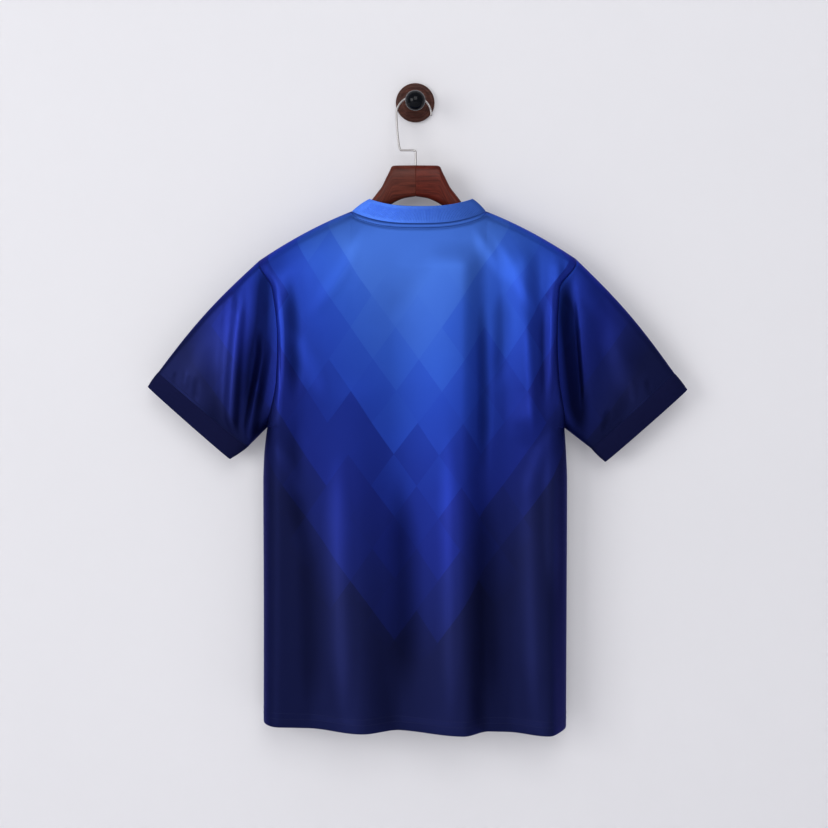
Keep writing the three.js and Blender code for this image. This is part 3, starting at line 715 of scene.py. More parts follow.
class Effects:
    """The shader groups that more than one finish uses."""

    LEG_TILT = 0.9
    LOOP_SHARE = 0.35
    SLUB_SCALE = 260.0
    YOKE_HALF = 0.131
    YOKE_ROUND = 1.5
    YOKE_DROP = 0.12
    CELL_SEED = 3.0
    PORE_SCALE = 6.0
    PORE_LEVEL = 0.62

    def __init__(self) -> None:
        """Builds each group once."""
        self.knit = self.knit_group()
        self.print = self.print_group()
        self.grain = self.grain_group()
        self.wear = self.wear_group()

    def knit_group(self) -> bpy.types.NodeTree:
        """Knit loops: wales across and courses along the cloth, as a height.

        Returns:
            The group.
        """
        graph, start, end = node_group(
            "knit loops", {"Cloth": None, "Wale": 0.0011, "Course": 0.0008}, ("Height", "Slub"))
        parts = graph.add("ShaderNodeSeparateXYZ", {0: start.outputs["Cloth"]})
        across = graph.math("DIVIDE", parts.outputs[0], start.outputs["Wale"])
        along = graph.math("DIVIDE", parts.outputs[1], start.outputs["Course"])
        tilt = graph.math("PINGPONG", across, 1.0)
        leg = graph.math("MULTIPLY_ADD", tilt, self.LEG_TILT, along)
        wale = graph.math("ABSOLUTE", graph.math("SINE", graph.math("MULTIPLY", across, math.pi)))
        loop = graph.math("SINE", graph.math("MULTIPLY", leg, 2 * math.pi))
        graph.feed(end, {"Height": graph.math("MULTIPLY_ADD", loop, self.LOOP_SHARE, wale),
                         "Slub": graph.noise(start.outputs["Cloth"], self.SLUB_SCALE, 3.0)})
        return graph.tree

    def print_group(self) -> bpy.types.NodeTree:
        """Tonal diamonds: each cell takes one tone of a light that falls from the yoke outwards.

        Returns:
            The group.
        """
        graph, start, end = node_group(
            "diamond print",
            {"Cloth": None, "Width": 0.064, "Height": 0.088, "Middle": 0.005, "Start": 0.23, "Span": 0.55,
             "Soft": 0.5}, ("Tone", "Shift"))
        given = start.outputs
        parts = graph.add("ShaderNodeSeparateXYZ", {0: given["Cloth"]})
        p = graph.math("DIVIDE", graph.math("SUBTRACT", parts.outputs[0], given["Middle"]), given["Width"])
        q = graph.math("DIVIDE", parts.outputs[1], given["Height"])
        a = graph.math("FLOOR", graph.math("ADD", p, q))
        b = graph.math("FLOOR", graph.math("SUBTRACT", p, q))
        cell_p = graph.math("MULTIPLY", graph.math("ADD", graph.math("ADD", a, b), 1.0), 0.5)
        cell_q = graph.math("MULTIPLY", graph.math("SUBTRACT", a, b), 0.5)
        step, row = (graph.add("ShaderNodeMix", {0: given["Soft"], 2: cell, 3: plain}).outputs[0]
                     for cell, plain in ((cell_p, p), (cell_q, q)))
        across = graph.math("MULTIPLY", graph.math("ABSOLUTE", step), given["Width"])
        down = graph.math("MULTIPLY", row, given["Height"])
        bent = graph.math("POWER", graph.math("DIVIDE", across, self.YOKE_HALF), self.YOKE_ROUND)
        aside = graph.math("MULTIPLY", bent, self.YOKE_DROP)
        fall = graph.math("SUBTRACT", graph.math("SUBTRACT", aside, down), given["Start"])
        cell = graph.add("ShaderNodeCombineXYZ", {0: a, 1: b, 2: self.CELL_SEED})
        chance = graph.add("ShaderNodeTexWhiteNoise", {"Vector": cell.outputs[0]}, noise_dimensions="3D")
        graph.feed(end, {"Tone": graph.math("DIVIDE", fall, given["Span"]),
                         "Shift": graph.math("SUBTRACT", chance.outputs["Value"], 0.5)})
        return graph.tree

    def grain_group(self) -> bpy.types.NodeTree:
        """Long wood grain with pores, as a mask and a height.

        Returns:
            The group.
        """
        graph, start, end = node_group(
            "wood grain", {"Place": None, "Stretch": 12.0, "Scale": 260.0}, ("Grain", "Pores"))
        parts = graph.add("ShaderNodeSeparateXYZ", {0: start.outputs["Place"]})
        along = graph.math("DIVIDE", parts.outputs[0], start.outputs["Stretch"])
        line = graph.add("ShaderNodeCombineXYZ", {0: along, 1: parts.outputs[1], 2: parts.outputs[2]})
        line = line.outputs[0]
        scale = start.outputs["Scale"]
        fine = graph.noise(line, graph.math("MULTIPLY", scale, self.PORE_SCALE), 3.0)
        graph.feed(end, {"Grain": graph.noise(line, scale, 6.0, Roughness=0.62, Distortion=0.7),
                         "Pores": graph.math("GREATER_THAN", fine, self.PORE_LEVEL)})
        return graph.tree

    def wear_group(self) -> bpy.types.NodeTree:
        """Faint handling marks, as a mask.

        Returns:
            The group.
        """
        graph, start, end = node_group("handling wear", {"Place": None, "Scale": 30.0}, ("Marks",))
        cloud = graph.noise(start.outputs["Place"], start.outputs["Scale"], 5.0, Roughness=0.7)
        graph.feed(end, {"Marks": graph.math("MULTIPLY_ADD", cloud, 2.0, -0.5)})
        return graph.tree


def new_material(name: str) -> tuple[Material, Graph, bpy.types.Node]:
    """Starts a material with only its Principled shader and output.

    Args:
        name: the material's name.

    Returns:
        The material, its graph and its Principled node.
    """
    material = bpy.data.materials.new(name)
    material.use_nodes = True
    graph = Graph(material.node_tree)
    return material, graph, material.node_tree.nodes["Principled BSDF"]


# Reach of the relief mark, and the painted shade and painted highlight that it gives at its two ends.
RELIEF_SPAN = 4.0
TROUGH_SHADE = 0.3
RIDGE_HIGHLIGHT = 1.7


def shaded(graph: Graph, color: Socket) -> Socket:
    """Painted shade deepens a cloth's colour in its troughs and painted highlight lightens it on its ridges.
    """
    tint = graph.add("ShaderNodeMapRange", {
        0: graph.mark("relief"), 1: -RELIEF_SPAN, 2: RELIEF_SPAN, 3: TROUGH_SHADE, 4: RIDGE_HIGHLIGHT})
    return graph.blend(1.0, color, tint.outputs[0], "MULTIPLY")


@dataclass(frozen=True)
class KnitFinish:
    """Printed satin knit: a light azure yoke that falls to navy in tonal diamonds."""

    stops: tuple[tuple[float, Color], ...] = (
        (0.06, (0.056, 0.138, 0.46)), (0.24, (0.035, 0.095, 0.42)), (0.4, (0.026, 0.066, 0.37)),
        (0.54, (0.019, 0.038, 0.245)), (0.7, (0.0175, 0.029, 0.19)), (0.84, (0.0165, 0.0245, 0.13)),
        (1.0, (0.0145, 0.0185, 0.07)))
    cell_step: float = 0.1
    softness: float = 0.5
    offset: float = 0.0
    reverse: Color = (0.3, 0.36, 0.55)
    reverse_share: float = 0.35
    roughness: float = 0.33
    slub: float = 0.1
    loop_bump: float = 0.35
    loop_depth: float = 0.00018
    metallic: float = 0.6
    specular: float = 0.1
    tint: Color = (0.2, 0.26, 1.0)

    def build(self, name: str, effects: Effects) -> Material:
        """Makes the finish.

        Args:
            name: the material's name.
            effects: the shared groups.

        Returns:
            The material.
        """
        material, graph, shader = new_material(name)
        cloth = graph.cloth()
        pattern = graph.group(effects.print, {"Soft": self.softness, "Cloth": cloth})
        tone = graph.math("MULTIPLY_ADD", pattern.outputs["Shift"], self.cell_step, pattern.outputs["Tone"])
        # The print's colour, with painted shade in troughs and painted highlight on ridges.
        color = shaded(graph, graph.ramp(graph.math("ADD", tone, self.offset), list(self.stops)))
        pale = graph.blend(self.reverse_share, color, self.reverse)
        loops = graph.group(effects.knit, {"Cloth": cloth})
        graph.feed(shader, {
            "Base Color": graph.blend(graph.mark("reverse"), color, pale),
            "Roughness": graph.math("MULTIPLY_ADD", loops.outputs["Slub"], self.slub, self.roughness),
            "Normal": graph.bump(loops.outputs["Height"], self.loop_bump, self.loop_depth),
            "Metallic": self.metallic, "Specular IOR Level": self.specular, "Specular Tint": self.tint})
        return material


@dataclass(frozen=True)
class PlainKnitFinish:
    """Plain dyed knit for the ribbed collar and the cuffs."""

    color: Color
    shade: Color
    wale: float = 0.002
    course: float = 0.0011
    sheen: float = 0.04
    relief: float = 0.0002
    metallic: float = 0.2
    slub: float = 0.7
    slub_from: float = 0.1
    loop_bump: float = 0.5
    roughness: float = 0.5
    specular: float = 0.1
    tint: Color = (0.1, 0.2, 0.9)
    sheen_tint: Color = (0.06, 0.1, 0.6)

    def build(self, name: str, effects: Effects) -> Material:
        """Makes the finish.

        Args:
            name: the material's name.
            effects: the shared groups.

        Returns:
            The material.
        """
        material, graph, shader = new_material(name)
        loops = graph.group(effects.knit, {"Wale": self.wale, "Course": self.course, "Cloth": graph.cloth()})
        share = graph.math("MULTIPLY_ADD", loops.outputs["Slub"], self.slub, self.slub_from)
        # The dyed colour carries painted shade and painted highlight from the relief mark.
        graph.feed(shader, {
            "Base Color": shaded(graph, graph.blend(share, self.color, self.shade)),
            "Normal": graph.bump(loops.outputs["Height"], self.loop_bump, self.relief),
            "Roughness": self.roughness, "Metallic": self.metallic, "Specular IOR Level": self.specular,
            "Specular Tint": self.tint, "Sheen Weight": self.sheen, "Sheen Tint": self.sheen_tint})
        return material


def darker(color: Color, share: float) -> Color:
    """A colour with only a share of its light."""
    return tuple(part * share for part in color)


@dataclass(frozen=True)
class ThreadFinish:
    """Sewing thread, close to the cloth's own colour."""

    color: Color
    deep: float = 0.6
    roughness: float = 0.7
    specular: float = 0.1
    marks: float = 400.0

    def build(self, name: str, effects: Effects) -> Material:
        """Makes the finish from the thread's tint and faint marks.

        Args:
            name: the material's name.
            effects: the shared groups.

        Returns:
            The material.
        """
        material, graph, shader = new_material(name)
        marks = graph.group(effects.wear, {"Place": graph.where(), "Scale": self.marks})
        graph.feed(shader, {
            "Base Color": graph.blend(marks.outputs[0], self.color, darker(self.color, self.deep)),
            "Roughness": self.roughness, "Specular IOR Level": self.specular})
        return material


@dataclass(frozen=True)
class WoodFinish:
    """Lacquered dark wood with long grain, read from Object coordinates or the piece's UV map."""

    light: Color
    dark: Color
    uses_map: bool
    coat: float = 0.12
    stretch: float = 12.0
    grain_span: float = 2.2
    grain_from: float = -0.6
    pores: float = 0.5
    half_share: float = 0.8
    half_tint: Color = (1.0, 0.62, 0.55)
    roughness: float = 0.32
    wear: float = 0.12
    grain_bump: float = 0.2
    grain_depth: float = 0.0002
    specular: float = 0.2
    coat_roughness: float = 0.25

    def build(self, name: str, effects: Effects) -> Material:
        """Makes the finish.

        Args:
            name: the material's name.
            effects: the shared groups.

        Returns:
            The material.
        """
        material, graph, shader = new_material(name)
        where = graph.cloth() if self.uses_map else graph.where()
        grain = graph.group(effects.grain, {"Place": where, "Stretch": self.stretch}).outputs
        tone = graph.math("MULTIPLY_ADD", grain["Grain"], self.grain_span, self.grain_from)
        middle = tuple(mix(np.array(self.light), np.array(self.dark), 0.5))
        color = graph.ramp(tone, [(0.0, self.dark), (0.5, middle), (1.0, self.light)])
        color = graph.blend(graph.math("MULTIPLY", grain["Pores"], self.pores), color, self.dark)
        if self.uses_map:
            half = graph.math("MULTIPLY", graph.mark("reverse"), self.half_share)
            color = graph.blend(half, color, self.half_tint, "MULTIPLY")
        marks = graph.group(effects.wear, {"Place": where})
        graph.feed(shader, {
            "Base Color": color,
            "Roughness": graph.math("MULTIPLY_ADD", marks.outputs[0], self.wear, self.roughness),
            "Normal": graph.bump(grain["Grain"], self.grain_bump, self.grain_depth),
            "Specular IOR Level": self.specular, "Coat Weight": self.coat,
            "Coat Roughness": self.coat_roughness})
        return material


@dataclass(frozen=True)
class HardFinish:
    """Polished wire or glossy lacquer, with faint handling marks in its roughness."""

    color: Color
    metallic: float
    roughness: float
    level: float = 0.5
    marks: float = 120.0
    wear: float = 0.08
    deep: float = 0.8

    def build(self, name: str, effects: Effects) -> Material:
        """Makes the finish.

        Args:
            name: the material's name.
            effects: the shared groups.

        Returns:
            The material.
        """
        material, graph, shader = new_material(name)
        marks = graph.group(effects.wear, {"Place": graph.where(), "Scale": self.marks}).outputs[0]
        graph.feed(shader, {
            "Base Color": graph.blend(marks, self.color, darker(self.color, self.deep)),
            "Roughness": graph.math("MULTIPLY_ADD", marks, self.wear, self.roughness),
            "Metallic": self.metallic, "Specular IOR Level": self.level})
        return material


class Hand(Enum):
    """Which side of the picture a piece is on."""

    LEFT = -1
    RIGHT = 1


@dataclass
class BodyPanel:
    """The back or front of the jersey, from its shoulder and neck line down to the rounded hem."""

    face: Face
    thickness: float = 1.0
    neck_columns: int = 72
    shoulder_columns: int = 30
    corner_columns: int = 14
    armhole_rows: int = 80
    side_rows: int = 96
    hem_depth: float = 18.0
    hem_step: float = 0.5
    hem_ease: float = 2.5
    neck_stitch: float = 7.0
    neck_groove: float = 1.3
    neck_dip: float = 1.3
    neck_fade: float = 14.0
    groove_width: float = 1.2
    groove_power: int = 12
    # Painted shade in the colour of the neck groove.
    groove_shade: float = 1.6
    seam_groove: float = 0.6
    crease_from: float = 40.0
    sleeved_over: float = 40.0
    sleeved_from: float = 22.0
    # Painted highlight on a strip beside the armhole seam, painted shade at the seam and on the turned sides,
    # and painted highlight and shade on the folds.
    armhole_highlight: float = 2.4
    armhole_bow: float = 0.6
    seam_shade: float = 2.0
    seam_power: int = 10
    side_shading: float = 1.6
    fold_shading: float = 0.07
    stitch_lift: float = 0.12
    relief: Array = field(init=False)
    points: Array = field(init=False)
    normals: Array = field(init=False)
    cloth: Array = field(init=False)

    INSIDE_X = 0.8
    INSIDE_Z = -230
    SEAM_LEAN = (0.45, 0.85)
    TOUCH = 0.01

    def __post_init__(self) -> None:
        """Works out the panel's outer points, inward directions and cloth coordinates."""
        self.rows = self.row_shares()
        self.points = self.outer_points()
        self.normals = self.inward()
        along = way_along(self.points)
        middle = int(np.argmin(np.abs(self.points[:, 0, 0] - FORM.neck_x)))
        self.cloth = np.stack([FORM.neck_x + along - along[middle], self.points[:, :, 2]], -1)

    def row_shares(self) -> Array:
        """Share of the body's length at each row, closer together at the armhole's ends."""
        armhole = FORM.underarm_share * (1 - np.cos(np.linspace(0, np.pi, self.armhole_rows + 1))) / 2
        below = np.linspace(FORM.underarm_share, 1, self.side_rows + 1)[1:]
        return np.concatenate([armhole, below])

    def open_stops(self) -> tuple[Array, float, float]:
        """Places of the open columns along the shoulder and neck line, with their two ends.

        Returns:
            The places, the lowest and the highest.
        """
        low = float(FORM.flat_end(-1, SECTION_Z[1]))
        high = float(FORM.flat_end(1, SECTION_Z[1]))
        first, last = FORM.neck_x - FORM.neck_half, FORM.neck_x + FORM.neck_half
        neck = FORM.neck_x - FORM.neck_half * np.cos(np.linspace(0, np.pi, self.neck_columns + 1))
        left = np.linspace(low, first, self.shoulder_columns + 1)[:-1]
        right = np.linspace(last, high, self.shoulder_columns + 1)[1:]
        return np.concatenate([left, neck, right]), low, high

    def column_shares(self) -> tuple[Array, Array, Array]:
        """Share of the open width, side and turn of each column.

        Returns:
            Three columns of numbers.
        """
        stops, low, high = self.open_stops()
        turns = np.arange(1, self.corner_columns + 1) / self.corner_columns
        none, whole = np.zeros_like(turns), np.ones_like(turns)
        share = np.concatenate([none, (stops - low) / (high - low), whole])
        side = np.concatenate([-whole, np.zeros_like(stops), whole])
        turn = np.concatenate([turns[::-1], np.zeros_like(stops), turns])
        return share[:, None], side[:, None], turn[:, None]

    def outer_points(self) -> Array:
        """Outer points of the panel, columns by rows, and the relief that paints shade and highlight into its
        colour.

        Returns:
            The points; the relief is kept with the panel.
        """
        share, side, turn = self.column_shares()
        top_x, _ = self.column_at(share, side, turn, np.full_like(share, SECTION_Z[1]))
        top = FORM.top_z(top_x, self.face.neck)
        hem = FORM.hem_z(top_x)
        z = mix(top, hem, self.rows[None, :])
        x, turned = self.column_at(share, side, turn, z)
        x[:, 0] = top_x[:, 0]
        depth = FORM.face_depth(self.face, x, z)
        drop = np.maximum(0, FORM.ridge_z(x) - z)
        creases = raised(self.face.creases, x, z)
        creases = creases * (1 - turned**3) * smooth(drop / self.crease_from)
        seam_z = mix(top, hem, FORM.underarm_share)
        sleeved = smooth((z - seam_z) / self.sleeved_over) * smooth(drop / self.sleeved_from)
        # Painted highlight beside the armhole seam, painted shade at the seam and where the sides turn away.
        edge = self.armhole_highlight * sleeved * np.sin(np.pi * turned**self.armhole_bow)
        edge = edge - self.seam_shade * turned**self.seam_power - self.side_shading * (1 - sleeved) * turned
        # Painted highlight on the ridges of creases and folds, painted shade in their troughs.
        shade = creases + edge + self.fold_shading * raised(self.face.folds, x, z)
        depth = depth + creases
        seam = FORM.armhole_flat * quarter((z - seam_z) / FORM.armhole_round)
        depth = depth * mix(1, seam, turned)
        below = top - z
        dip = self.neck_groove * np.exp(-(((below - self.neck_stitch) / self.groove_width) ** 2))
        dip = (dip + self.neck_dip * np.exp(-((below / self.groove_width) ** 2))) * self.at_neck(x)
        depth = depth - dip
        # Painted shade in the neck groove's colour.
        self.relief = shade - self.groove_shade * dip
        depth = depth - self.seam_groove * turned**self.groove_power
        hemmed = smooth((hem + self.hem_depth - z) / self.hem_ease + 0.5)
        depth = depth + self.hem_step * hemmed * (1 - turned)
        y = FORM.hang_y + self.face.side * (FORM.seam_gap / 2 + depth)
        return np.stack([x, y, z], -1)

    def at_neck(self, x: Array) -> Array:
        """1 below the neck line, fading out past the neck points."""
        return smooth((FORM.neck_half + self.neck_fade - np.abs(x - FORM.neck_x)) / self.neck_fade)

    def column_at(self, share: Array, side: Array, turn: Array, z: Array) -> tuple[Array, Array]:
        """Where each column lies at each height.

        Args:
            share: share of the open width.
            side: side of a corner column, 0 for an open one.
            turn: how far a corner column has turned.
            z: heights.

        Returns:
            The places across, and how far the cloth has turned towards its seam.
        """
        whole = np.radians(FORM.turn(z))
        angle = whole * turn
        corner = FORM.corner(z) * np.sin(angle) - FORM.tuck(z) * (1 - np.cos(angle)) ** 2
        open_x = mix(FORM.flat_end(-1, z), FORM.flat_end(1, z), share)
        turned = (1 - np.cos(angle)) / (1 - np.cos(whole))
        return open_x + side * corner, np.where(side == 0, 0.0, turned)

    def inward(self) -> Array:
        """Directions into the garment, with the seams' own at the edges.

        Returns:
            One direction for each point.
        """
        inside = self.points * np.array([self.INSIDE_X, 0.0, 1.0]) + np.array([0.0, FORM.hang_y, 0.0])
        inside[:, :, 2] = np.minimum(inside[:, :, 2], self.INSIDE_Z)
        normals = grid_normals(self.points, False, inside)
        rows = np.arange(self.armhole_rows + 1)
        for column, hand in ((0, Hand.LEFT), (-1, Hand.RIGHT)):
            normals[column, : len(rows)] = self.armhole_normal(hand, rows)
            normals[column, len(rows):] = (-hand.value, 0, 0)
        x = self.points[:, 0, 0]
        shoulder = np.abs(x - FORM.neck_x) >= FORM.neck_half - self.TOUCH
        normals[shoulder, 0] = FORM.shoulder_normal(x[shoulder])
        return normals

    def armhole_normal(self, hand: Hand, rows: Array) -> Array:
        """Directions into the garment round an armhole, shared with the sleeve.

        Args:
            hand: which armhole.
            rows: rows of the armhole.

        Returns:
            Unit directions.
        """
        angle = np.pi * rows / self.armhole_rows
        across = -hand.value * mix(*self.SEAM_LEAN, np.abs(np.cos(angle)) ** 3)
        return unit(np.stack([across, -self.face.side * np.sin(angle), -np.cos(angle)], -1))

    def surface(self, columns: slice, down: float) -> Array:
        """Points of the panel a given way below its upper edge, lifted for sewing.

        Args:
            columns: which columns.
            down: way from the upper edge, or from the hem if negative.

        Returns:
            The points.
        """
        points, normals = self.points[columns], self.normals[columns]
        way = way_along(points, axis=1)
        goal = np.full(len(points), down) if down >= 0 else way[:, -1] + down
        line = []
        for column, at, length, normal in zip(points, goal, way, normals):
            spot = [np.interp(at, length, column[:, axis]) for axis in range(3)]
            lift = [np.interp(at, length, normal[:, axis]) for axis in range(3)]
            line.append(np.array(spot) - self.stitch_lift * unit(np.array(lift)))
        return np.array(line)

    def neck_slice(self) -> slice:
        """The columns between the two neck points."""
        start = self.corner_columns + self.shoulder_columns
        return slice(start, start + self.neck_columns + 1)

    def make(self, name: str, material: Material) -> Piece:
        """Makes the panel's mesh.

        Args:
            name: the piece's name.
            material: its finish.

        Returns:
            The piece.
        """
        inner = self.points + self.normals * self.thickness
        return Shell(self.points, inner, self.cloth, False, self.relief, rounding=4).make(name, material)


@dataclass
class Ring:
    """Points round a seam, each with its direction into the garment."""

    points: Array
    normals: Array

    @staticmethod
    def join(back: tuple[Array, Array], front: tuple[Array, Array]) -> Ring:
        """Joins the back's and the front's edges, meeting halfway at both ends.

        Args:
            back: points and directions of the back's edge.
            front: the same of the front's.

        Returns:
            The ring, along the back and home along the front.
        """
        parts = []
        for first, second in zip(back, front):
            ends = (first + second) / 2
            parts.append(np.concatenate([ends[:1], first[1:-1], ends[-1:], second[1:-1][::-1]]))
        return Ring(parts[0], unit(parts[1]))

    def parted(self, gap: float, origin: Array) -> Ring:
        """Moves the ring across its seam, away from a place.

        Args:
            gap: how far.
            origin: the place, one for each point.

        Returns:
            The moved ring.
        """
        along = np.roll(self.points, -1, axis=0) - np.roll(self.points, 1, axis=0)
        away = unit(np.cross(along, self.normals))
        facing = np.sum((self.points - origin) * away, axis=1, keepdims=True)
        return Ring(self.points + np.where(facing < 0, -gap, gap) * away, self.normals)

    def resampled(self, count: int) -> Ring:
        """Spreads a new number of points evenly round the ring.

        Args:
            count: how many.

        Returns:
            The new ring.
        """
        way = way_along(closed(self.points))
        goal = np.linspace(0, way[-1], count, endpoint=False)
        points, normals = (
            np.stack([np.interp(goal, way, rows[:, axis]) for axis in range(3)], -1)
            for rows in (closed(self.points), closed(self.normals)))
        return Ring(points, unit(normals))


@dataclass(frozen=True)
class SleeveCut:
    """A sleeve's cuff seam and cuff edge, upper and lower ends as x and z, and its folds.

    Its creases are in its shape and in its painted shade and highlight; its sheen creases are only painted
    highlight and painted shade in its colour.
    """

    hand: Hand
    seam: tuple[Point, Point]
    edge: tuple[Point, Point]
    folds: tuple[Fold, ...]
    creases: tuple[Crease, ...]
    sheen: tuple[Crease, ...]


LEFT_SLEEVE = SleeveCut(
    Hand.LEFT, ((-359.4, -374.0), (-235.5, -479.6)), ((-374.4, -393.7), (-259.8, -496.6)),
    (Fold((-243, -272), (-257, -440), 14, 13, (7, 12)),
     Fold((-209, -345), (-229, -450), 13, 13, (6, 10)),
     Fold((-300, -340), (-312, -400), 30, 26, (3, 4))),
    (Crease((-318, -366), (-322, -400), 6, 1.6),
     Crease((-303, -376), (-309, -420), 8, -1.6),
     Crease((-333, -372), (-338, -394), 5, -1.2),
     Crease((-272, -350), (-280, -480), 26, -1.2),
     Crease((-204, -200), (-238, -482), 22, -2.6, -3),
     Crease((-256, -240), (-271, -478), 14, 3.2),
     Crease((-214, -366), (-236, -466), 9, 2.2)),
    # Sheen creases: painted highlight and painted shade, only in the colour.
    (Crease((-203, -140), (-226, -512), 27, -4.4, 2),
     Crease((-200, -240), (-352, -460), 50, 3.6),
     Crease((-247, -262), (-259, -478), 15, 3.4, -4)))
RIGHT_SLEEVE = SleeveCut(
    Hand.RIGHT, ((362.6, -375.6), (247.8, -482.0)), ((381.0, -397.9), (266.7, -500.5)),
    (Fold((224, -262), (236, -395), 9, 40, (7, 6)),
     Fold((290, -330), (276, -430), 34, 34, (2, 5))),
    (Crease((203, -215), (236, -496), 20, -3.8),
     Crease((250, -300), (300, -420), 20, 1.6, 8),
     Crease((300, -380), (306, -420), 8, 1.5),
     Crease((270, -420), (262, -460), 8, -1.8),
     Crease((322, -380), (330, -412), 7, -1.3),
     Crease((232, -250), (300, -340), 16, 1.2, -6)),
    # Sheen creases: painted highlight and painted shade, only in the colour.
    (Crease((199, -205), (236, -505), 24, -3.0, -2),
     Crease((290, -350), (310, -470), 34, 2.2, 6)))


@dataclass
class Sleeve:
    """A short sleeve from the armhole to its cuff seam, and the doubled cuff below it."""

    cut: SleeveCut
    back: BodyPanel
    front: BodyPanel
    rows: int = 84
    swell: float = 6.0
    least_depth: float = 4.0
    seam_depth: float = 13.0
    edge_depth: float = 10.0
    flatness: float = 0.7
    thickness: float = 1.0
    seam_lift: float = 0.15
    half_gap: float = 0.15
    # Painted highlight and shade on the folds' ridges and troughs.
    fold_shading: float = 0.1
    free_start: float = 1.6
    free_end: float = 5.0
    held_start: float = 8.0
    held_end: float = 14.0
    lean: float = 0.3
    cuff_thickness: float = 1.7
    cuff_rows: int = 14
    cuff_gap: float = 0.2
    cuff_belly: float = 0.7
    belly_rise: float = 1.15
    cuff_width: float = 28.0

    def __post_init__(self) -> None:
        """Works out the rings at the armhole, the cuff seam and the cuff's edge."""
        column = 0 if self.cut.hand is Hand.LEFT else -1
        rows = slice(0, self.back.armhole_rows + 1)
        ring = Ring.join((self.back.points[column, rows], self.back.normals[column, rows]),
                         (self.front.points[column, rows], self.front.normals[column, rows]))
        self.armhole = ring.parted(self.half_gap, ring.points * np.array([0.0, 1.0, 1.0]))
        self.count = len(self.armhole.points)
        self.angle = 2 * np.pi * np.arange(self.count) / self.count
        self.seam_ring = self.flat_ring(self.cut.seam, self.seam_depth)
        self.edge_ring = self.flat_ring(self.cut.edge, self.edge_depth)
        self.seam_normals = self.flat_normals(self.cut.seam)

    def flat_ring(self, ends: tuple[Point, Point], depth: float) -> Array:
        """A flattened ring across the sleeve.

        Args:
            ends: its upper and lower ends, as x and z.
            depth: half its thickness.

        Returns:
            Its points.
        """
        share = (1 - np.cos(self.angle)) / 2
        bulge = -depth * signed_power(np.sin(self.angle), self.flatness)
        (top_x, top_z), (low_x, low_z) = ends
        return np.stack([mix(top_x, low_x, share), FORM.hang_y + bulge, mix(top_z, low_z, share)], -1)

    def flat_normals(self, ends: tuple[Point, Point]) -> Array:
        """Directions into the sleeve round a flattened ring.

        Args:
            ends: the ring's upper and lower ends, as x and z.

        Returns:
            One direction for each point.
        """
        along = unit(np.array([ends[0][0] - ends[1][0], 0.0, ends[0][1] - ends[1][1]]))
        edge = -signed_power(np.cos(self.angle), 4)
        return unit(along * edge[:, None] + np.array([0, 1, 0]) * np.sin(self.angle)[:, None])

    def points(self) -> tuple[Array, Array, Array]:
        """Outer points of the sleeve, the cloth coordinates under its folds and its relief, which paints
        shade and highlight into its colour.

        Returns:
            The three grids, round the sleeve by down it.
        """
        share = np.linspace(0, 1, self.rows + 1)[None, :, None]
        plain = mix(self.armhole.points[:, None, :], self.seam_ring[:, None, :], share)
        upper = clamp(np.cos(self.angle)) ** 3
        swell = self.swell * np.sin(np.pi * share[..., 0]) * upper[:, None]
        plain = plain + swell[..., None] * unit(np.array([self.cut.hand.value, 0.0, 1.0]))
        x, z = plain[..., 0], plain[..., 2]
        way = share[..., 0]
        free = np.sin(np.pi * np.minimum(way * self.free_start, 0.5)) * smooth((1 - way) * self.free_end)
        opened = np.sqrt(np.abs(np.sin(self.angle)))[:, None]
        rise = raised(self.cut.folds, x, z)
        held = smooth(way * self.held_start) * smooth((1 - way) * self.held_end)
        worn = raised(self.cut.creases, x, z)
        points = plain.copy()
        room = np.abs(plain[..., 1] - FORM.hang_y)
        depth = room + opened * (free * rise + worn * held)
        least = np.minimum(room, self.least_depth * opened)
        over = np.sqrt((depth - least) ** 2 + (2 * held * opened) ** 2)
        outward = np.sign(plain[..., 1] - FORM.hang_y)
        points[..., 1] = FORM.hang_y + outward * (depth + least + over) / 2
        # Painted highlight and shade: the creases' own, and the sheen creases, which are only in the colour.
        shade = worn + raised(self.cut.sheen, x, z)
        return points, np.stack([x, z], -1), opened * (self.fold_shading * free * rise + shade)

    @staticmethod
    def inside(points: Array) -> Array:
        """Places within the sleeve, on its hanging plane."""
        return np.where(np.arange(3) == 1, FORM.hang_y, points)

    def make_sleeve(self, name: str, material: Material) -> Piece:
        """Makes the sleeve's mesh.

        Args:
            name: the piece's name.
            material: its finish.

        Returns:
            The piece.
        """
        points, cloth, relief = self.points()
        x, z = np.mean(self.cut.seam, axis=0)
        middle = np.array([x, FORM.hang_y, z])
        normals = grid_normals(points, True, mix(self.inside(points), middle, self.lean))
        normals[:, 0] = self.armhole.normals
        normals[:, -1] = self.seam_normals
        shell = Shell(points, points + normals * self.thickness, closed(cloth), True, relief)
        return shell.make(name, material)

    def make_cuff(self, name: str, material: Material) -> Piece:
        """Makes the cuff's mesh, with a rounded free edge and a slight belly.

        Args:
            name: the piece's name.
            material: its finish.

        Returns:
            The piece.
        """
        gap = unit(np.mean(self.edge_ring - self.seam_ring, axis=0)) * self.cuff_gap
        share = np.linspace(0, 1, self.cuff_rows + 1)[None, :, None]
        points = mix((self.seam_ring + gap)[:, None, :], self.edge_ring[:, None, :], share)
        normals = grid_normals(points, True, self.inside(points))
        normals[:, 0] = self.seam_normals
        normals[:, -1] = self.flat_normals(self.cut.edge)
        belly = self.cuff_belly * np.sin(np.pi * clamp(share * self.belly_rise)) ** 0.5
        points = points - normals * belly
        inner = points + normals * (self.cuff_thickness + belly)
        way = way_along(self.edge_ring)
        cloth = np.stack(np.broadcast_arrays(way[:, None], self.cuff_width * share[..., 0]), -1)
        cloth = np.concatenate([cloth, cloth[:1] + np.array([way[-1] + way[1], 0])])
        level = np.zeros(points.shape[:2])
        return Shell(points, inner, cloth, True, level, rounding=4).make(name, material)

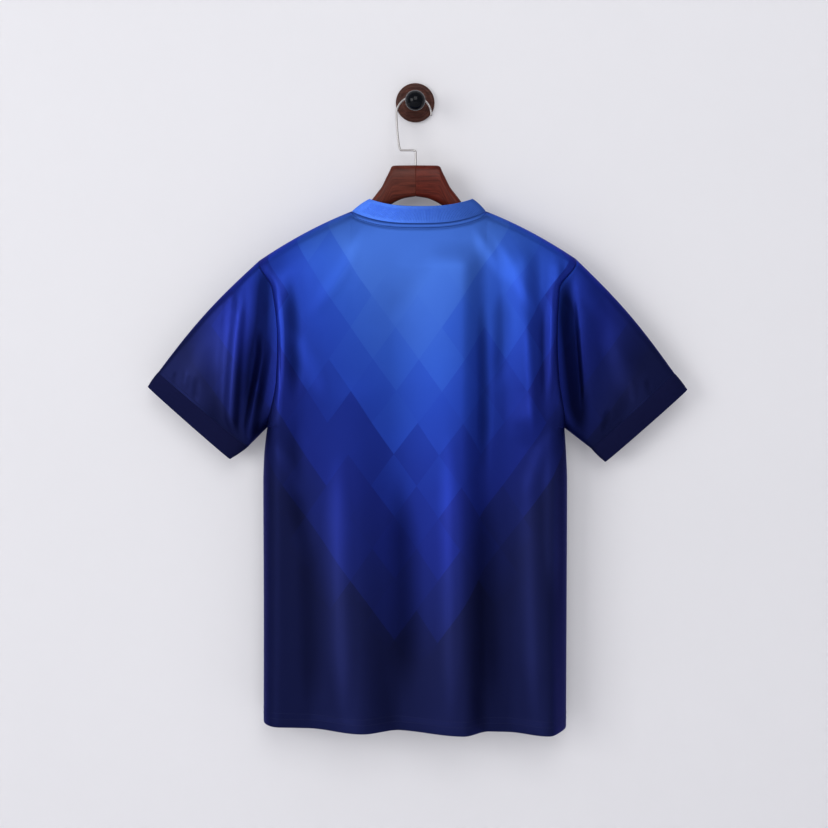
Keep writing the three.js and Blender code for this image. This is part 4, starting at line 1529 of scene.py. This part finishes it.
    def seam_line(self, back: float) -> Array:
        """Points round the sleeve a little before its cuff seam, lifted for sewing.

        Args:
            back: how far before the seam.

        Returns:
            The points.
        """
        points = self.points()[0]
        share = 1 - back / np.linalg.norm(points[0, -1] - points[0, 0])
        row = int(round(share * self.rows))
        return points[:, row] - self.seam_normals * self.seam_lift


@dataclass
class Collar:
    """Ribbed crew band: a folded double band with upright ribs and a rounded free edge."""

    back: BodyPanel
    front: BodyPanel
    top_centre: float = 8.0
    top_half: float = 72.0
    top_z: float = -133.4
    back_drop: float = 10.5
    front_drop: float = 78.0
    round: float = 2.6
    lean: float = 0.82
    thickness: float = 1.9
    ribs: int = 220
    rib_points: int = 4
    rib_height: float = 0.3
    rows: int = 10
    gap: float = 0.3
    inside_drop: float = 10.0
    rib_start: float = 9.0
    rib_end: float = 7.0
    rib_left: float = 0.25
    belly: float = 0.9
    width: float = 24.0
    # Painted shading: the band's right side darker and its left lighter, as light from the left would fall.
    side_shading: float = 3.0
    shading_span: Point = (-2.3, 1.5)

    def make(self, name: str, material: Material) -> Piece:
        """Makes the collar's mesh.

        Args:
            name: the piece's name.
            material: its finish.

        Returns:
            The piece.
        """
        part = self.back.neck_slice()
        seam = Ring.join((self.back.points[part, 0], self.back.normals[part, 0]),
                         (self.front.points[part, 0], self.front.normals[part, 0]))
        below = seam.points * np.array([1.0, 1.0, 0.0]) + np.array([0.0, 0.0, FORM.hem_mid_z])
        ring = seam.parted(self.gap, below).resampled(self.ribs * self.rib_points)
        across = np.clip((ring.points[:, 0] - FORM.neck_x) / FORM.neck_half, -1, 1)
        behind = ring.points[:, 1] <= FORM.hang_y
        shape = 1 - np.abs(across) ** self.round
        fall = np.where(behind, self.back_drop * shape, self.front_drop * shape**self.front.face.neck.power)
        free = np.stack([
            self.top_centre + self.top_half * across,
            mix(FORM.hang_y, ring.points[:, 1], self.lean),
            self.top_z - fall], -1)
        share = np.linspace(0, 1, self.rows + 1)[None, :, None]
        points = mix(ring.points[:, None, :], free[:, None, :], share)
        inside = np.broadcast_to(np.array([FORM.neck_x, FORM.hang_y, 0.0]), points.shape).copy()
        inside[..., 2] = points[..., 2] - self.inside_drop
        normals = grid_normals(points, True, inside)
        normals[:, 0] = ring.normals
        rib = np.cos(2 * np.pi * np.arange(len(ring.points)) / self.rib_points)[:, None, None]
        belly = self.belly * np.sin(np.pi * share)
        ended = smooth((1 - share) * self.rib_end + self.rib_left)
        lift = rib * self.rib_height * smooth(share * self.rib_start) * ended + belly
        around = way_along(closed(ring.points))[:, None]
        cloth = np.stack(np.broadcast_arrays(around, self.width * share[..., 0]), -1)
        inner = points + normals * self.thickness
        # Painted shade on the band's right and painted highlight on its left.
        shade = np.broadcast_to(np.clip(-self.side_shading * across, *self.shading_span)[:, None], points.shape[:2])
        shell = Shell(points - normals * lift, inner, cloth, True, shade, rounding=6)
        return shell.make(name, material)


class StitchRows:
    """Rows of sewing stitches, laid along seam lines by one Geometry Nodes tree."""

    STITCH_SHARE = 0.78

    def __init__(self) -> None:
        """Builds the tree."""
        graph, start, end = node_group(
            "stitch row",
            {"Geometry": "Geometry", "Pitch": 0.003, "Length": 0.0023, "Thread": 0.0005,
             "Thread finish": "Material"}, ("Geometry",), "Geometry", "GeometryNodeTree")
        curve = graph.add("GeometryNodeMeshToCurve", {0: start.outputs["Geometry"]})
        even = graph.add("GeometryNodeResampleCurve", {
            "Curve": curve.outputs[0], "Length": start.outputs["Pitch"]}, mode="LENGTH")
        bead = graph.add("GeometryNodeMeshUVSphere", {"Segments": 6, "Rings": 5, "Radius": 0.5})
        size = graph.add("ShaderNodeCombineXYZ", {
            0: start.outputs["Length"], 1: start.outputs["Thread"], 2: start.outputs["Thread"]})
        turned = graph.add("FunctionNodeAlignRotationToVector", {
            "Vector": graph.add("GeometryNodeInputTangent").outputs[0]}, axis="X")
        laid = graph.add("GeometryNodeInstanceOnPoints", {
            "Points": even.outputs[0], "Instance": bead.outputs[0], "Rotation": turned.outputs[0],
            "Scale": size.outputs[0]})
        real = graph.add("GeometryNodeRealizeInstances", {0: laid.outputs[0]})
        soft = graph.add("GeometryNodeSetShadeSmooth", {0: real.outputs[0]})
        dyed = graph.add("GeometryNodeSetMaterial", {
            "Geometry": soft.outputs[0], "Material": start.outputs["Thread finish"]})
        graph.feed(end, {"Geometry": dyed.outputs[0]})
        self.tree = graph.tree

    def make(self, name: str, lines: list[Array], material: Material, pitch: float = 3.0,
             thread: float = 0.5, joined: bool = False) -> Piece:
        """Sews rows along lines and turns them into one plain mesh.

        Args:
            name: the piece's name.
            lines: the seam lines, in millimetres.
            material: the thread's finish.
            pitch: length of one stitch with its gap.
            thread: the thread's thickness.
            joined: each line meets its own start.

        Returns:
            The piece.
        """
        points, edges = [], []
        for line in lines:
            first = len(points)
            points += (line * MM).tolist()
            edges += [(first + k, first + k + 1) for k in range(len(line) - 1)]
            if joined:
                edges.append((first + len(line) - 1, first))
        guide = bpy.data.meshes.new(f"{name}_line")
        guide.from_pydata(points, edges, [])
        piece = place(name, guide)
        modifier = piece.modifiers.new("stitches", "NODES")
        modifier.node_group = self.tree
        values = {"Pitch": pitch * MM, "Length": self.STITCH_SHARE * pitch * MM, "Thread": thread * MM,
                  "Thread finish": material}
        for item in self.tree.interface.items_tree:
            if item.name in values and item.in_out == "INPUT":
                modifier[item.identifier] = values[item.name]
        graph = bpy.context.evaluated_depsgraph_get()
        mesh = bpy.data.meshes.new_from_object(piece.evaluated_get(graph))
        piece.modifiers.clear()
        piece.data = mesh
        return piece


@dataclass
class Hanger:
    """Wooden hanger: a flat neck with an arched underside and arms under the shoulders."""

    middle: float = 0.8
    arm_end: float = 207.0
    under_cloth: float = 2.5
    clearance: float = 4.5
    square: float = 0.72
    stations: int = 150
    points: int = 48
    joint: float = 0.5
    joint_depth: float = 0.45
    tip: float = 14.0
    arm_height: Point = (25.0, 20.0)
    tip_share: float = 0.2
    neck_reach: float = 60.0
    grain_turn: float = 7.0
    grain_shift: float = 90.0
    finer: tuple[float, ...] = (28, 30, 31, 32, 34, 35)
    out: tuple[float, ...] = (0, 16, 29, 33, 37, 42, 47, 55, 61, 66, 91)
    top: tuple[float, ...] = (-87.3, -87.4, -87.6, -88.8, -96.5, -106.4, -116.4, -127, -134.6, -141.4, -155)
    bottom: tuple[float, ...] = (
        -130, -132.6, -138, -140.4, -142.8, -146, -149.2, -154.4, -158.4, -161.6, -180)
    half: tuple[float, ...] = (9, 9, 9, 9, 9, 9, 9, 9, 8.6, 8, 8.2)

    def section(self, x: Array) -> tuple[Array, Array, Array]:
        """Top, bottom and half thickness at places across.

        Args:
            x: the places.

        Returns:
            The three sizes at each.
        """
        out = np.abs(x - self.middle)
        share = clamp((out - self.out[-1]) / (self.arm_end - self.out[-1]))
        tip = quarter((self.arm_end - out) / self.tip)
        top = FORM.ridge_z(x) - self.under_cloth
        height = mix(*self.arm_height, share)
        shrink = height * (1 - tip) / 2
        half = (FORM.roll(x) - self.clearance) * mix(self.tip_share, 1, tip)
        arm = (top - shrink * 0.5, top - height + shrink, half)
        shown = out <= self.out[-1]
        tables = [Track(list(self.out), list(values))(out) for values in (self.top, self.bottom, self.half)]
        return tuple(np.where(shown, table, beyond) for table, beyond in zip(tables, arm))

    def across(self) -> Array:
        """Distances from the middle at which sections stand, closer where the outline bends.

        Returns:
            The distances, the left ones negative.
        """
        count = self.stations // 2
        half = np.concatenate([np.linspace(0, self.neck_reach, count),
                               np.linspace(self.neck_reach + 1, self.arm_end, count)])
        half = np.unique(np.concatenate([half, [self.joint * 0.5, self.joint, *self.finer]]))
        return np.concatenate([-half[::-1][:-1], half])

    def make(self, name: str, material: Material) -> Piece:
        """Makes the hanger's mesh, with the glued joint at its middle and closed ends.

        Args:
            name: the piece's name.
            material: its finish.

        Returns:
            The piece.
        """
        out = self.across()
        x = self.middle + out
        top, bottom, thick = self.section(x)
        groove = self.joint_depth * (1 - smooth(np.abs(out) / self.joint))
        angle = 2 * np.pi * np.arange(self.points) / self.points
        upright, wide = signed_power(np.cos(angle), self.square), signed_power(np.sin(angle), self.square)
        z = (top + bottom)[:, None] / 2 + ((top - bottom) / 2 - groove)[:, None] * upright[None, :]
        y = FORM.hang_y + (thick - groove)[:, None] * wide[None, :]
        rings = np.stack(np.broadcast_arrays(x[:, None], y, z), -1)
        mesh = new_mesh(name, rings.reshape(-1, 3), tube_faces(len(x), self.points))
        arm = way_along(np.stack([x, (top + bottom) / 2], -1))
        arm = np.abs(arm - np.interp(self.middle, x, arm))
        right = (out > 0).astype(float)
        across = (top[:, None] - z) + self.grain_turn * wide[None, :] + self.grain_shift * right[:, None]
        spread = np.stack(np.broadcast_arrays(arm[:, None], across), -1).reshape(-1, 2)
        layer = mesh.uv_layers.new(name="cloth")
        index = np.zeros(len(mesh.loops), int)
        mesh.loops.foreach_get("vertex_index", index)
        layer.data.foreach_set("uv", (spread[index] * MM).ravel())
        add_mark(mesh, "reverse", np.repeat(right, self.points).astype(np.float32))
        return finish_solid(name, mesh, material, HARD_EDGE)


@dataclass
class Hook:
    """Bent wire: over the knob, down the left, a step to the middle and into the hanger."""

    wire: float = 1.3
    arc_x: float = -2.0
    arc_z: float = -17.6
    radius: float = 24.0
    end_angle: float = -3.0
    left_x: float = -23.2
    left_z: float = -54.0
    low_x: float = -21.8
    step_z: float = -66.8
    right_x: float = -2.4
    bend: float = 2.6
    foot_z: float = -100.0
    foot_x: float = 0.8
    arc_end: float = 183.0
    arc_points: int = 60
    sag: float = 0.35
    sides: int = 16

    BEND_POINTS = 14
    TIP_SHARE = 0.05

    def line(self) -> list[Point]:
        """The wire's middle line, as x and z.

        Returns:
            Its points, from the free end to the foot.
        """
        points = []
        for angle in np.radians(np.linspace(self.end_angle, self.arc_end, self.arc_points)):
            points.append((self.arc_x + self.radius * math.cos(angle),
                           self.arc_z + self.radius * math.sin(angle)))
        start = np.array(points[-1])
        for share in np.linspace(0.1, 1, 10):
            straight = mix(start, np.array([self.left_x, self.left_z]), share)
            points.append(tuple(straight - np.array([self.sag * math.sin(math.pi * share), 0])))
        points += self.bent((self.left_x, self.left_z), (self.low_x, self.step_z),
                            (self.low_x + self.bend, self.step_z))
        points += self.bent((self.right_x - self.bend, self.step_z), (self.foot_x, self.step_z),
                            (self.foot_x, self.step_z - self.bend))
        points.append((self.foot_x, self.foot_z))
        return points

    def bent(self, start: Point, corner: Point, end: Point) -> list[Point]:
        """A rounded bend between two straight stretches.

        Args:
            start: where the bend starts.
            corner: where the stretches would meet.
            end: where it ends.

        Returns:
            The bend's points.
        """
        first, middle, last = (np.array(spot) for spot in (start, corner, end))
        shares = np.linspace(0, 1, self.BEND_POINTS)
        return [tuple(mix(mix(first, middle, t), mix(middle, last, t), t)) for t in shares]

    def make(self, name: str, material: Material) -> Piece:
        """Makes the wire as a round tube with a rounded free end.

        Args:
            name: the piece's name.
            material: its finish.

        Returns:
            The piece.
        """
        line = np.array([(x, FORM.hang_y, z) for x, z in self.line()])
        way = unit(np.gradient(line, axis=0))
        aside = unit(np.cross(way, np.array([0.0, 1.0, 0.0])))
        radii = np.full(len(line), self.wire)
        cap = np.linspace(0, 1, 5)[:-1]
        head = [line[0] - way[0] * self.wire * math.cos(math.pi / 2 * t) for t in cap]
        line = np.concatenate([head, line])
        radii = np.concatenate([np.maximum(self.TIP_SHARE, np.sin(np.pi / 2 * cap)) * self.wire, radii])
        aside = np.concatenate([np.repeat(aside[:1], len(cap), axis=0), aside])
        angle = 2 * np.pi * np.arange(self.sides) / self.sides
        cosine, sine = np.cos(angle)[None, :, None], np.sin(angle)[None, :, None]
        rings = line[:, None] + radii[:, None, None] * (cosine * aside[:, None] + sine * np.array([0, 1, 0]))
        mesh = new_mesh(name, rings.reshape(-1, 3), tube_faces(len(line), self.sides))
        return finish_solid(name, mesh, material, HARD_EDGE)


@dataclass
class WallKnob:
    """Turned rosette against the wall, with a stem and a glossy ball in front of it."""

    radius: float = 27.0
    thick: float = 12.0
    dish: float = 17.0
    stem: float = 4.5
    ball: float = 14.0
    ball_out: float = 56.0
    gap: float = 0.3
    sides: int = 96

    RIM_SHARE = 0.4
    COVE_SHARE = 0.7

    def turned(self, name: str, profile: list[Point], material: Material) -> Piece:
        """Turns a profile round the knob's axis.

        Args:
            name: the piece's name.
            profile: distance from the wall and radius, from axis to axis.
            material: its finish.

        Returns:
            The piece.
        """
        angle = 2 * np.pi * np.arange(self.sides) / self.sides
        points, rings = [], []
        for out, radius in profile:
            if radius < TINY:
                rings.append([len(points)])
                points.append((0.0, -out, 0.0))
                continue
            rings.append(list(range(len(points), len(points) + self.sides)))
            points += [(radius * math.cos(a), -out, radius * math.sin(a)) for a in angle]
        faces = []
        for low, high in zip(rings, rings[1:]):
            for k in range(self.sides):
                after = (k + 1) % self.sides
                quad = [low[k % len(low)], low[after % len(low)],
                        high[after % len(high)], high[k % len(high)]]
                faces.append(list(dict.fromkeys(quad)))
        return finish_solid(name, new_mesh(name, np.array(points), faces), material, TURNED_EDGE)

    def make_rosette(self, name: str, material: Material) -> Piece:
        """Makes the rosette: flat back, rounded rim, cove and raised middle.

        Args:
            name: the piece's name.
            material: its finish.

        Returns:
            The piece.
        """
        step, cove = self.thick * self.RIM_SHARE, self.thick * self.COVE_SHARE
        rim = [(0.0, 0.0), (0.0, self.radius - 1.0), (0.3, self.radius - 0.3), (1.0, self.radius)]
        rim += [(step, self.radius)]
        for angle in np.radians(np.linspace(8, 90, 9)):
            rim.append((step + 3.4 * math.sin(angle), self.radius - 3.2 * (1 - math.cos(angle))))
        rim += [(self.thick * 0.66, self.radius - 4.4), (cove, self.radius - 5.4)]
        for share in np.linspace(0.15, 1, 8):
            rim.append((mix(cove, self.thick, math.sin(math.pi / 2 * share)),
                        mix(self.radius - 5.6, self.dish, share)))
        rim += [(self.thick, self.dish - 1.5), (self.thick, 0.0)]
        return self.turned(name, rim, material)

    def make_knob(self, name: str, material: Material) -> Piece:
        """Makes the stem, its foot and the ball.

        Args:
            name: the piece's name.
            material: its finish.

        Returns:
            The piece.
        """
        start = self.thick + self.gap
        profile = [(start, 0.0), (start, self.stem + 1.6), (start + 1.6, self.stem + 1.6)]
        profile += [(start + 2.6, self.stem + 0.9), (start + 3.6, self.stem)]
        neck = math.asin(self.stem / self.ball)
        for angle in np.linspace(neck, math.pi, 44):
            radius = 0.0 if angle > math.pi - TINY else self.ball * math.sin(angle)
            profile.append((self.ball_out - self.ball * math.cos(angle), radius))
        return self.turned(name, profile, material)


@dataclass(frozen=True)
class Lamp:
    """One square soft light: its place and aim, its width in metres and its strength in watts."""

    name: str
    where: Place
    aim: Place
    size: float
    power: float

    def add(self) -> None:
        """Adds the light."""
        data = bpy.data.lights.new(self.name, "AREA")
        data.size = self.size
        data.energy = self.power
        point_at(place(self.name, data), self.where, self.aim)


def point_at(piece: Piece, where: Place, aim: Place) -> None:
    """Stands a camera or light at a place and turns it to another."""
    piece.location = where
    piece.rotation_euler = (Vector(aim) - Vector(where)).to_track_quat("-Z", "Y").to_euler()


@dataclass(frozen=True)
class Paint:
    """Mottled matt paint of a stage piece, which may give off a little light."""

    scale: float
    low: Color
    high: Color
    roughness: float
    glow: float = 0.0
    glow_tint: Color = (0.98, 0.97, 1.0)

    def build(self, name: str) -> tuple[Material, Graph, bpy.types.Node]:
        """Makes the paint and gives it with its graph and shader.

        Args:
            name: the material's name.

        Returns:
            The material, its graph and its Principled node.
        """
        material, graph, shader = new_material(name)
        mottle = graph.noise(graph.where(), self.scale, 4.0)
        graph.feed(shader, {"Base Color": graph.blend(mottle, self.low, self.high),
                            "Roughness": self.roughness})
        if self.glow:
            graph.feed(shader, {"Emission Color": self.glow_tint, "Emission Strength": self.glow})
        return material, graph, shader


@dataclass
class Studio:
    """Camera, soft light from the left, pale wall and pale floor, in metres."""

    lens: float = 76.87
    sensor: float = 36.0
    far: float = 50.0
    camera: Place = (-0.0017, -2.5043, -0.1521)
    target: Place = (-0.0017, -0.08, -0.4284)
    lamps: tuple[Lamp, ...] = (
        Lamp("key", (-3.4, -4.0, 0.5), (0.0, -0.05, -0.42), 2.6, 82.0),
        Lamp("fill", (0.2, -3.5, 1.5), (0.0, 0.0, -0.5), 2.4, 44.0),
        Lamp("behind", (0.6, 2.6, 0.8), (0.0, 0.0, -0.45), 1.8, 40.0))
    sky: Color = (0.93, 0.94, 1.0)
    sky_strength: float = 0.38
    half: float = 3.5
    wall_y: float = 0.0006
    wall_top: float = 2.2
    floor_z: float = -1.35
    floor_y: Point = (-4.0, 3.0)
    wall: Paint = Paint(2.2, (0.6, 0.596, 0.614), (0.628, 0.624, 0.642), 0.85, glow=0.135)
    floor: Paint = Paint(3.0, (0.74, 0.73, 0.76), (0.8, 0.79, 0.82), 0.7)

    def build(self) -> None:
        """Sets the camera, lights, wall and floor."""
        self.set_camera()
        for lamp in self.lamps:
            lamp.add()
        world = bpy.data.worlds.new("studio")
        world.use_nodes = True
        sky = world.node_tree.nodes["Background"]
        sky.inputs["Color"].default_value = (*self.sky, 1.0)
        sky.inputs["Strength"].default_value = self.sky_strength
        bpy.context.scene.world = world
        bpy.context.scene.view_settings.view_transform = "Standard"
        bpy.context.scene.view_settings.look = "Medium High Contrast"
        self.add_wall()
        self.add_floor()

    def set_camera(self) -> None:
        """Stands the camera level with the jersey's neck, tipped down a little."""
        data = bpy.data.cameras.new("camera")
        data.lens = self.lens
        data.sensor_width = self.sensor
        data.clip_end = self.far
        camera = place("camera", data)
        point_at(camera, self.camera, self.target)
        bpy.context.scene.camera = camera

    def add_wall(self) -> None:
        """Adds the painted wall, which only shows from its front."""
        material, graph, shader = self.wall.build("painted_wall")
        clear = graph.add("ShaderNodeBsdfTransparent")
        seen = graph.add("ShaderNodeLightPath").outputs["Is Camera Ray"]
        back = graph.add("ShaderNodeNewGeometry").outputs["Backfacing"]
        both = graph.add("ShaderNodeMixShader", {
            0: graph.math("MULTIPLY", seen, back), 1: shader.outputs[0], 2: clear.outputs[0]})
        graph.feed(graph.tree.nodes["Material Output"], {"Surface": both.outputs[0]})
        x, y, low, high = self.half, self.wall_y, self.floor_z, self.wall_top
        self.add_plane("wall", [(-x, y, low), (x, y, low), (x, y, high), (-x, y, high)], material)

    def add_floor(self) -> None:
        """Adds the pale floor, below the view."""
        material = self.floor.build("pale_floor")[0]
        x, z, (near, far) = self.half, self.floor_z, self.floor_y
        self.add_plane("floor", [(-x, near, z), (x, near, z), (x, far, z), (-x, far, z)], material)

    def add_plane(self, name: str, corners: list[Place], material: Material) -> None:
        """Adds one flat stage piece.

        Args:
            name: its name.
            corners: its corners, in metres.
            material: its paint.
        """
        mesh = bpy.data.meshes.new(name)
        mesh.from_pydata(corners, [], [(0, 1, 2, 3)])
        mesh.materials.append(material)
        place(name, mesh)


HEM_ROWS = (12.0, 20.0)
CUFF_STITCH = 4.0


class Jersey:
    """The whole dressed part: every piece, its finish and what it stands for."""

    def __init__(self) -> None:
        """Builds the shared effects and finishes."""
        effects = Effects()
        self.knit = KnitFinish().build("printed_knit", effects)
        self.sleeve_knit = KnitFinish(cell_step=0.05, softness=0.75, offset=-0.02).build(
            "printed_sleeve_knit", effects)
        self.cuff_knit = PlainKnitFinish(
            (0.0145, 0.0165, 0.062), (0.011, 0.0125, 0.044), 0.0012, 0.0009, metallic=0.35).build(
            "navy_cuff_knit", effects)
        self.rib = PlainKnitFinish((0.1, 0.235, 0.74), (0.066, 0.165, 0.6), relief=0.0001).build(
            "azure_rib", effects)
        self.thread = ThreadFinish((0.014, 0.018, 0.07)).build("navy_thread", effects)
        self.hem_thread = ThreadFinish((0.04, 0.046, 0.13)).build("hem_thread", effects)
        self.neck_thread = ThreadFinish((0.004, 0.016, 0.13)).build("azure_thread", effects)
        self.hanger_wood = WoodFinish((0.17, 0.042, 0.026), (0.05, 0.012, 0.008), True, coat=0.05).build(
            "red_brown_wood", effects)
        self.rosette_wood = WoodFinish(
            (0.12, 0.045, 0.032), (0.035, 0.014, 0.01), False, coat=0.05, stretch=8.0).build(
            "dark_walnut", effects)
        self.steel = HardFinish((0.5, 0.48, 0.47), 1.0, 0.28).build("nickel_wire", effects)
        self.gloss = HardFinish((0.004, 0.005, 0.008), 0.0, 0.1, level=0.22).build("black_lacquer", effects)
        self.stitches = StitchRows()

    def keep(self, piece: Piece, node: str | None = None) -> Piece:
        """Rides a piece on the part's body, hides the node that it stands for and logs its triangles.

        Args:
            piece: the piece.
            node: the node that it replaces, if any.

        Returns:
            The same piece.
        """
        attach(piece, "root")
        if node:
            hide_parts(node)
        triangles = sum(len(face.vertices) - 2 for face in piece.data.polygons)
        LOG.info("%s: %d triangles", piece.name, triangles)
        return piece

    def build_cloth(self) -> None:
        """Makes the panels, sleeves, cuffs and collar, and their stitching."""
        back, front = BodyPanel(BACK), BodyPanel(FRONT)
        back_piece = self.keep(back.make("back_cloth", self.knit), "back_panel")
        front_piece = self.keep(front.make("front_cloth", self.knit), "front_panel")
        collar = self.keep(Collar(back, front).make("ribbed_collar", self.rib), "collar")
        hem = self.stitches.make("hem_stitches", [
            panel.surface(slice(None), -down) for panel in (back, front) for down in HEM_ROWS],
            self.hem_thread)
        self.keep(hem)
        neck = self.stitches.make("neck_stitches", [
            self.neck_line(panel, panel.neck_stitch) for panel in (back, front)],
            self.neck_thread, pitch=2.4, thread=0.7)
        self.keep(neck)
        for cut, name in ((LEFT_SLEEVE, "left"), (RIGHT_SLEEVE, "right")):
            self.build_sleeve(cut, name, back, front)

    @staticmethod
    def neck_line(panel: BodyPanel, down: float) -> Array:
        """Sewing line a little below a panel's neck seam."""
        part = panel.neck_slice()
        return panel.surface(slice(part.start - 1, part.stop + 1), down)

    def build_sleeve(self, cut: SleeveCut, name: str, back: BodyPanel, front: BodyPanel) -> None:
        """Makes one sleeve with its cuff and stitching.

        Args:
            cut: its sizes.
            name: left or right.
            back: the back panel.
            front: the front panel.
        """
        sleeve = Sleeve(cut, back, front)
        cloth = self.keep(sleeve.make_sleeve(f"sleeve_{name}_cloth", self.sleeve_knit),
                          f"sleeve_{name}")
        cuff = self.keep(sleeve.make_cuff(f"cuff_{name}_cloth", self.cuff_knit), f"cuff_{name}")
        line = sleeve.seam_line(CUFF_STITCH)
        rows = self.stitches.make(f"cuff_{name}_stitches", [line], self.thread, joined=True)
        self.keep(rows)

    def build_hardware(self) -> None:
        """Makes the hanger, its hook, the rosette and the knob."""
        self.keep(Hanger().make("wooden_hanger", self.hanger_wood), "hanger")
        self.keep(Hook().make("wire_hook", self.steel), "hook")
        knob = WallKnob()
        self.keep(knob.make_rosette("turned_rosette", self.rosette_wood), "rosette")
        self.keep(knob.make_knob("black_knob", self.gloss), "knob")


def main() -> None:
    """Builds the studio and the dressed part, logging each dressed piece's triangles."""
    logging.basicConfig(level=logging.INFO, format="%(name)s %(message)s")
    Studio().build()
    jersey = Jersey()
    jersey.build_cloth()
    jersey.build_hardware()


if __name__ == "__main__":
    main()
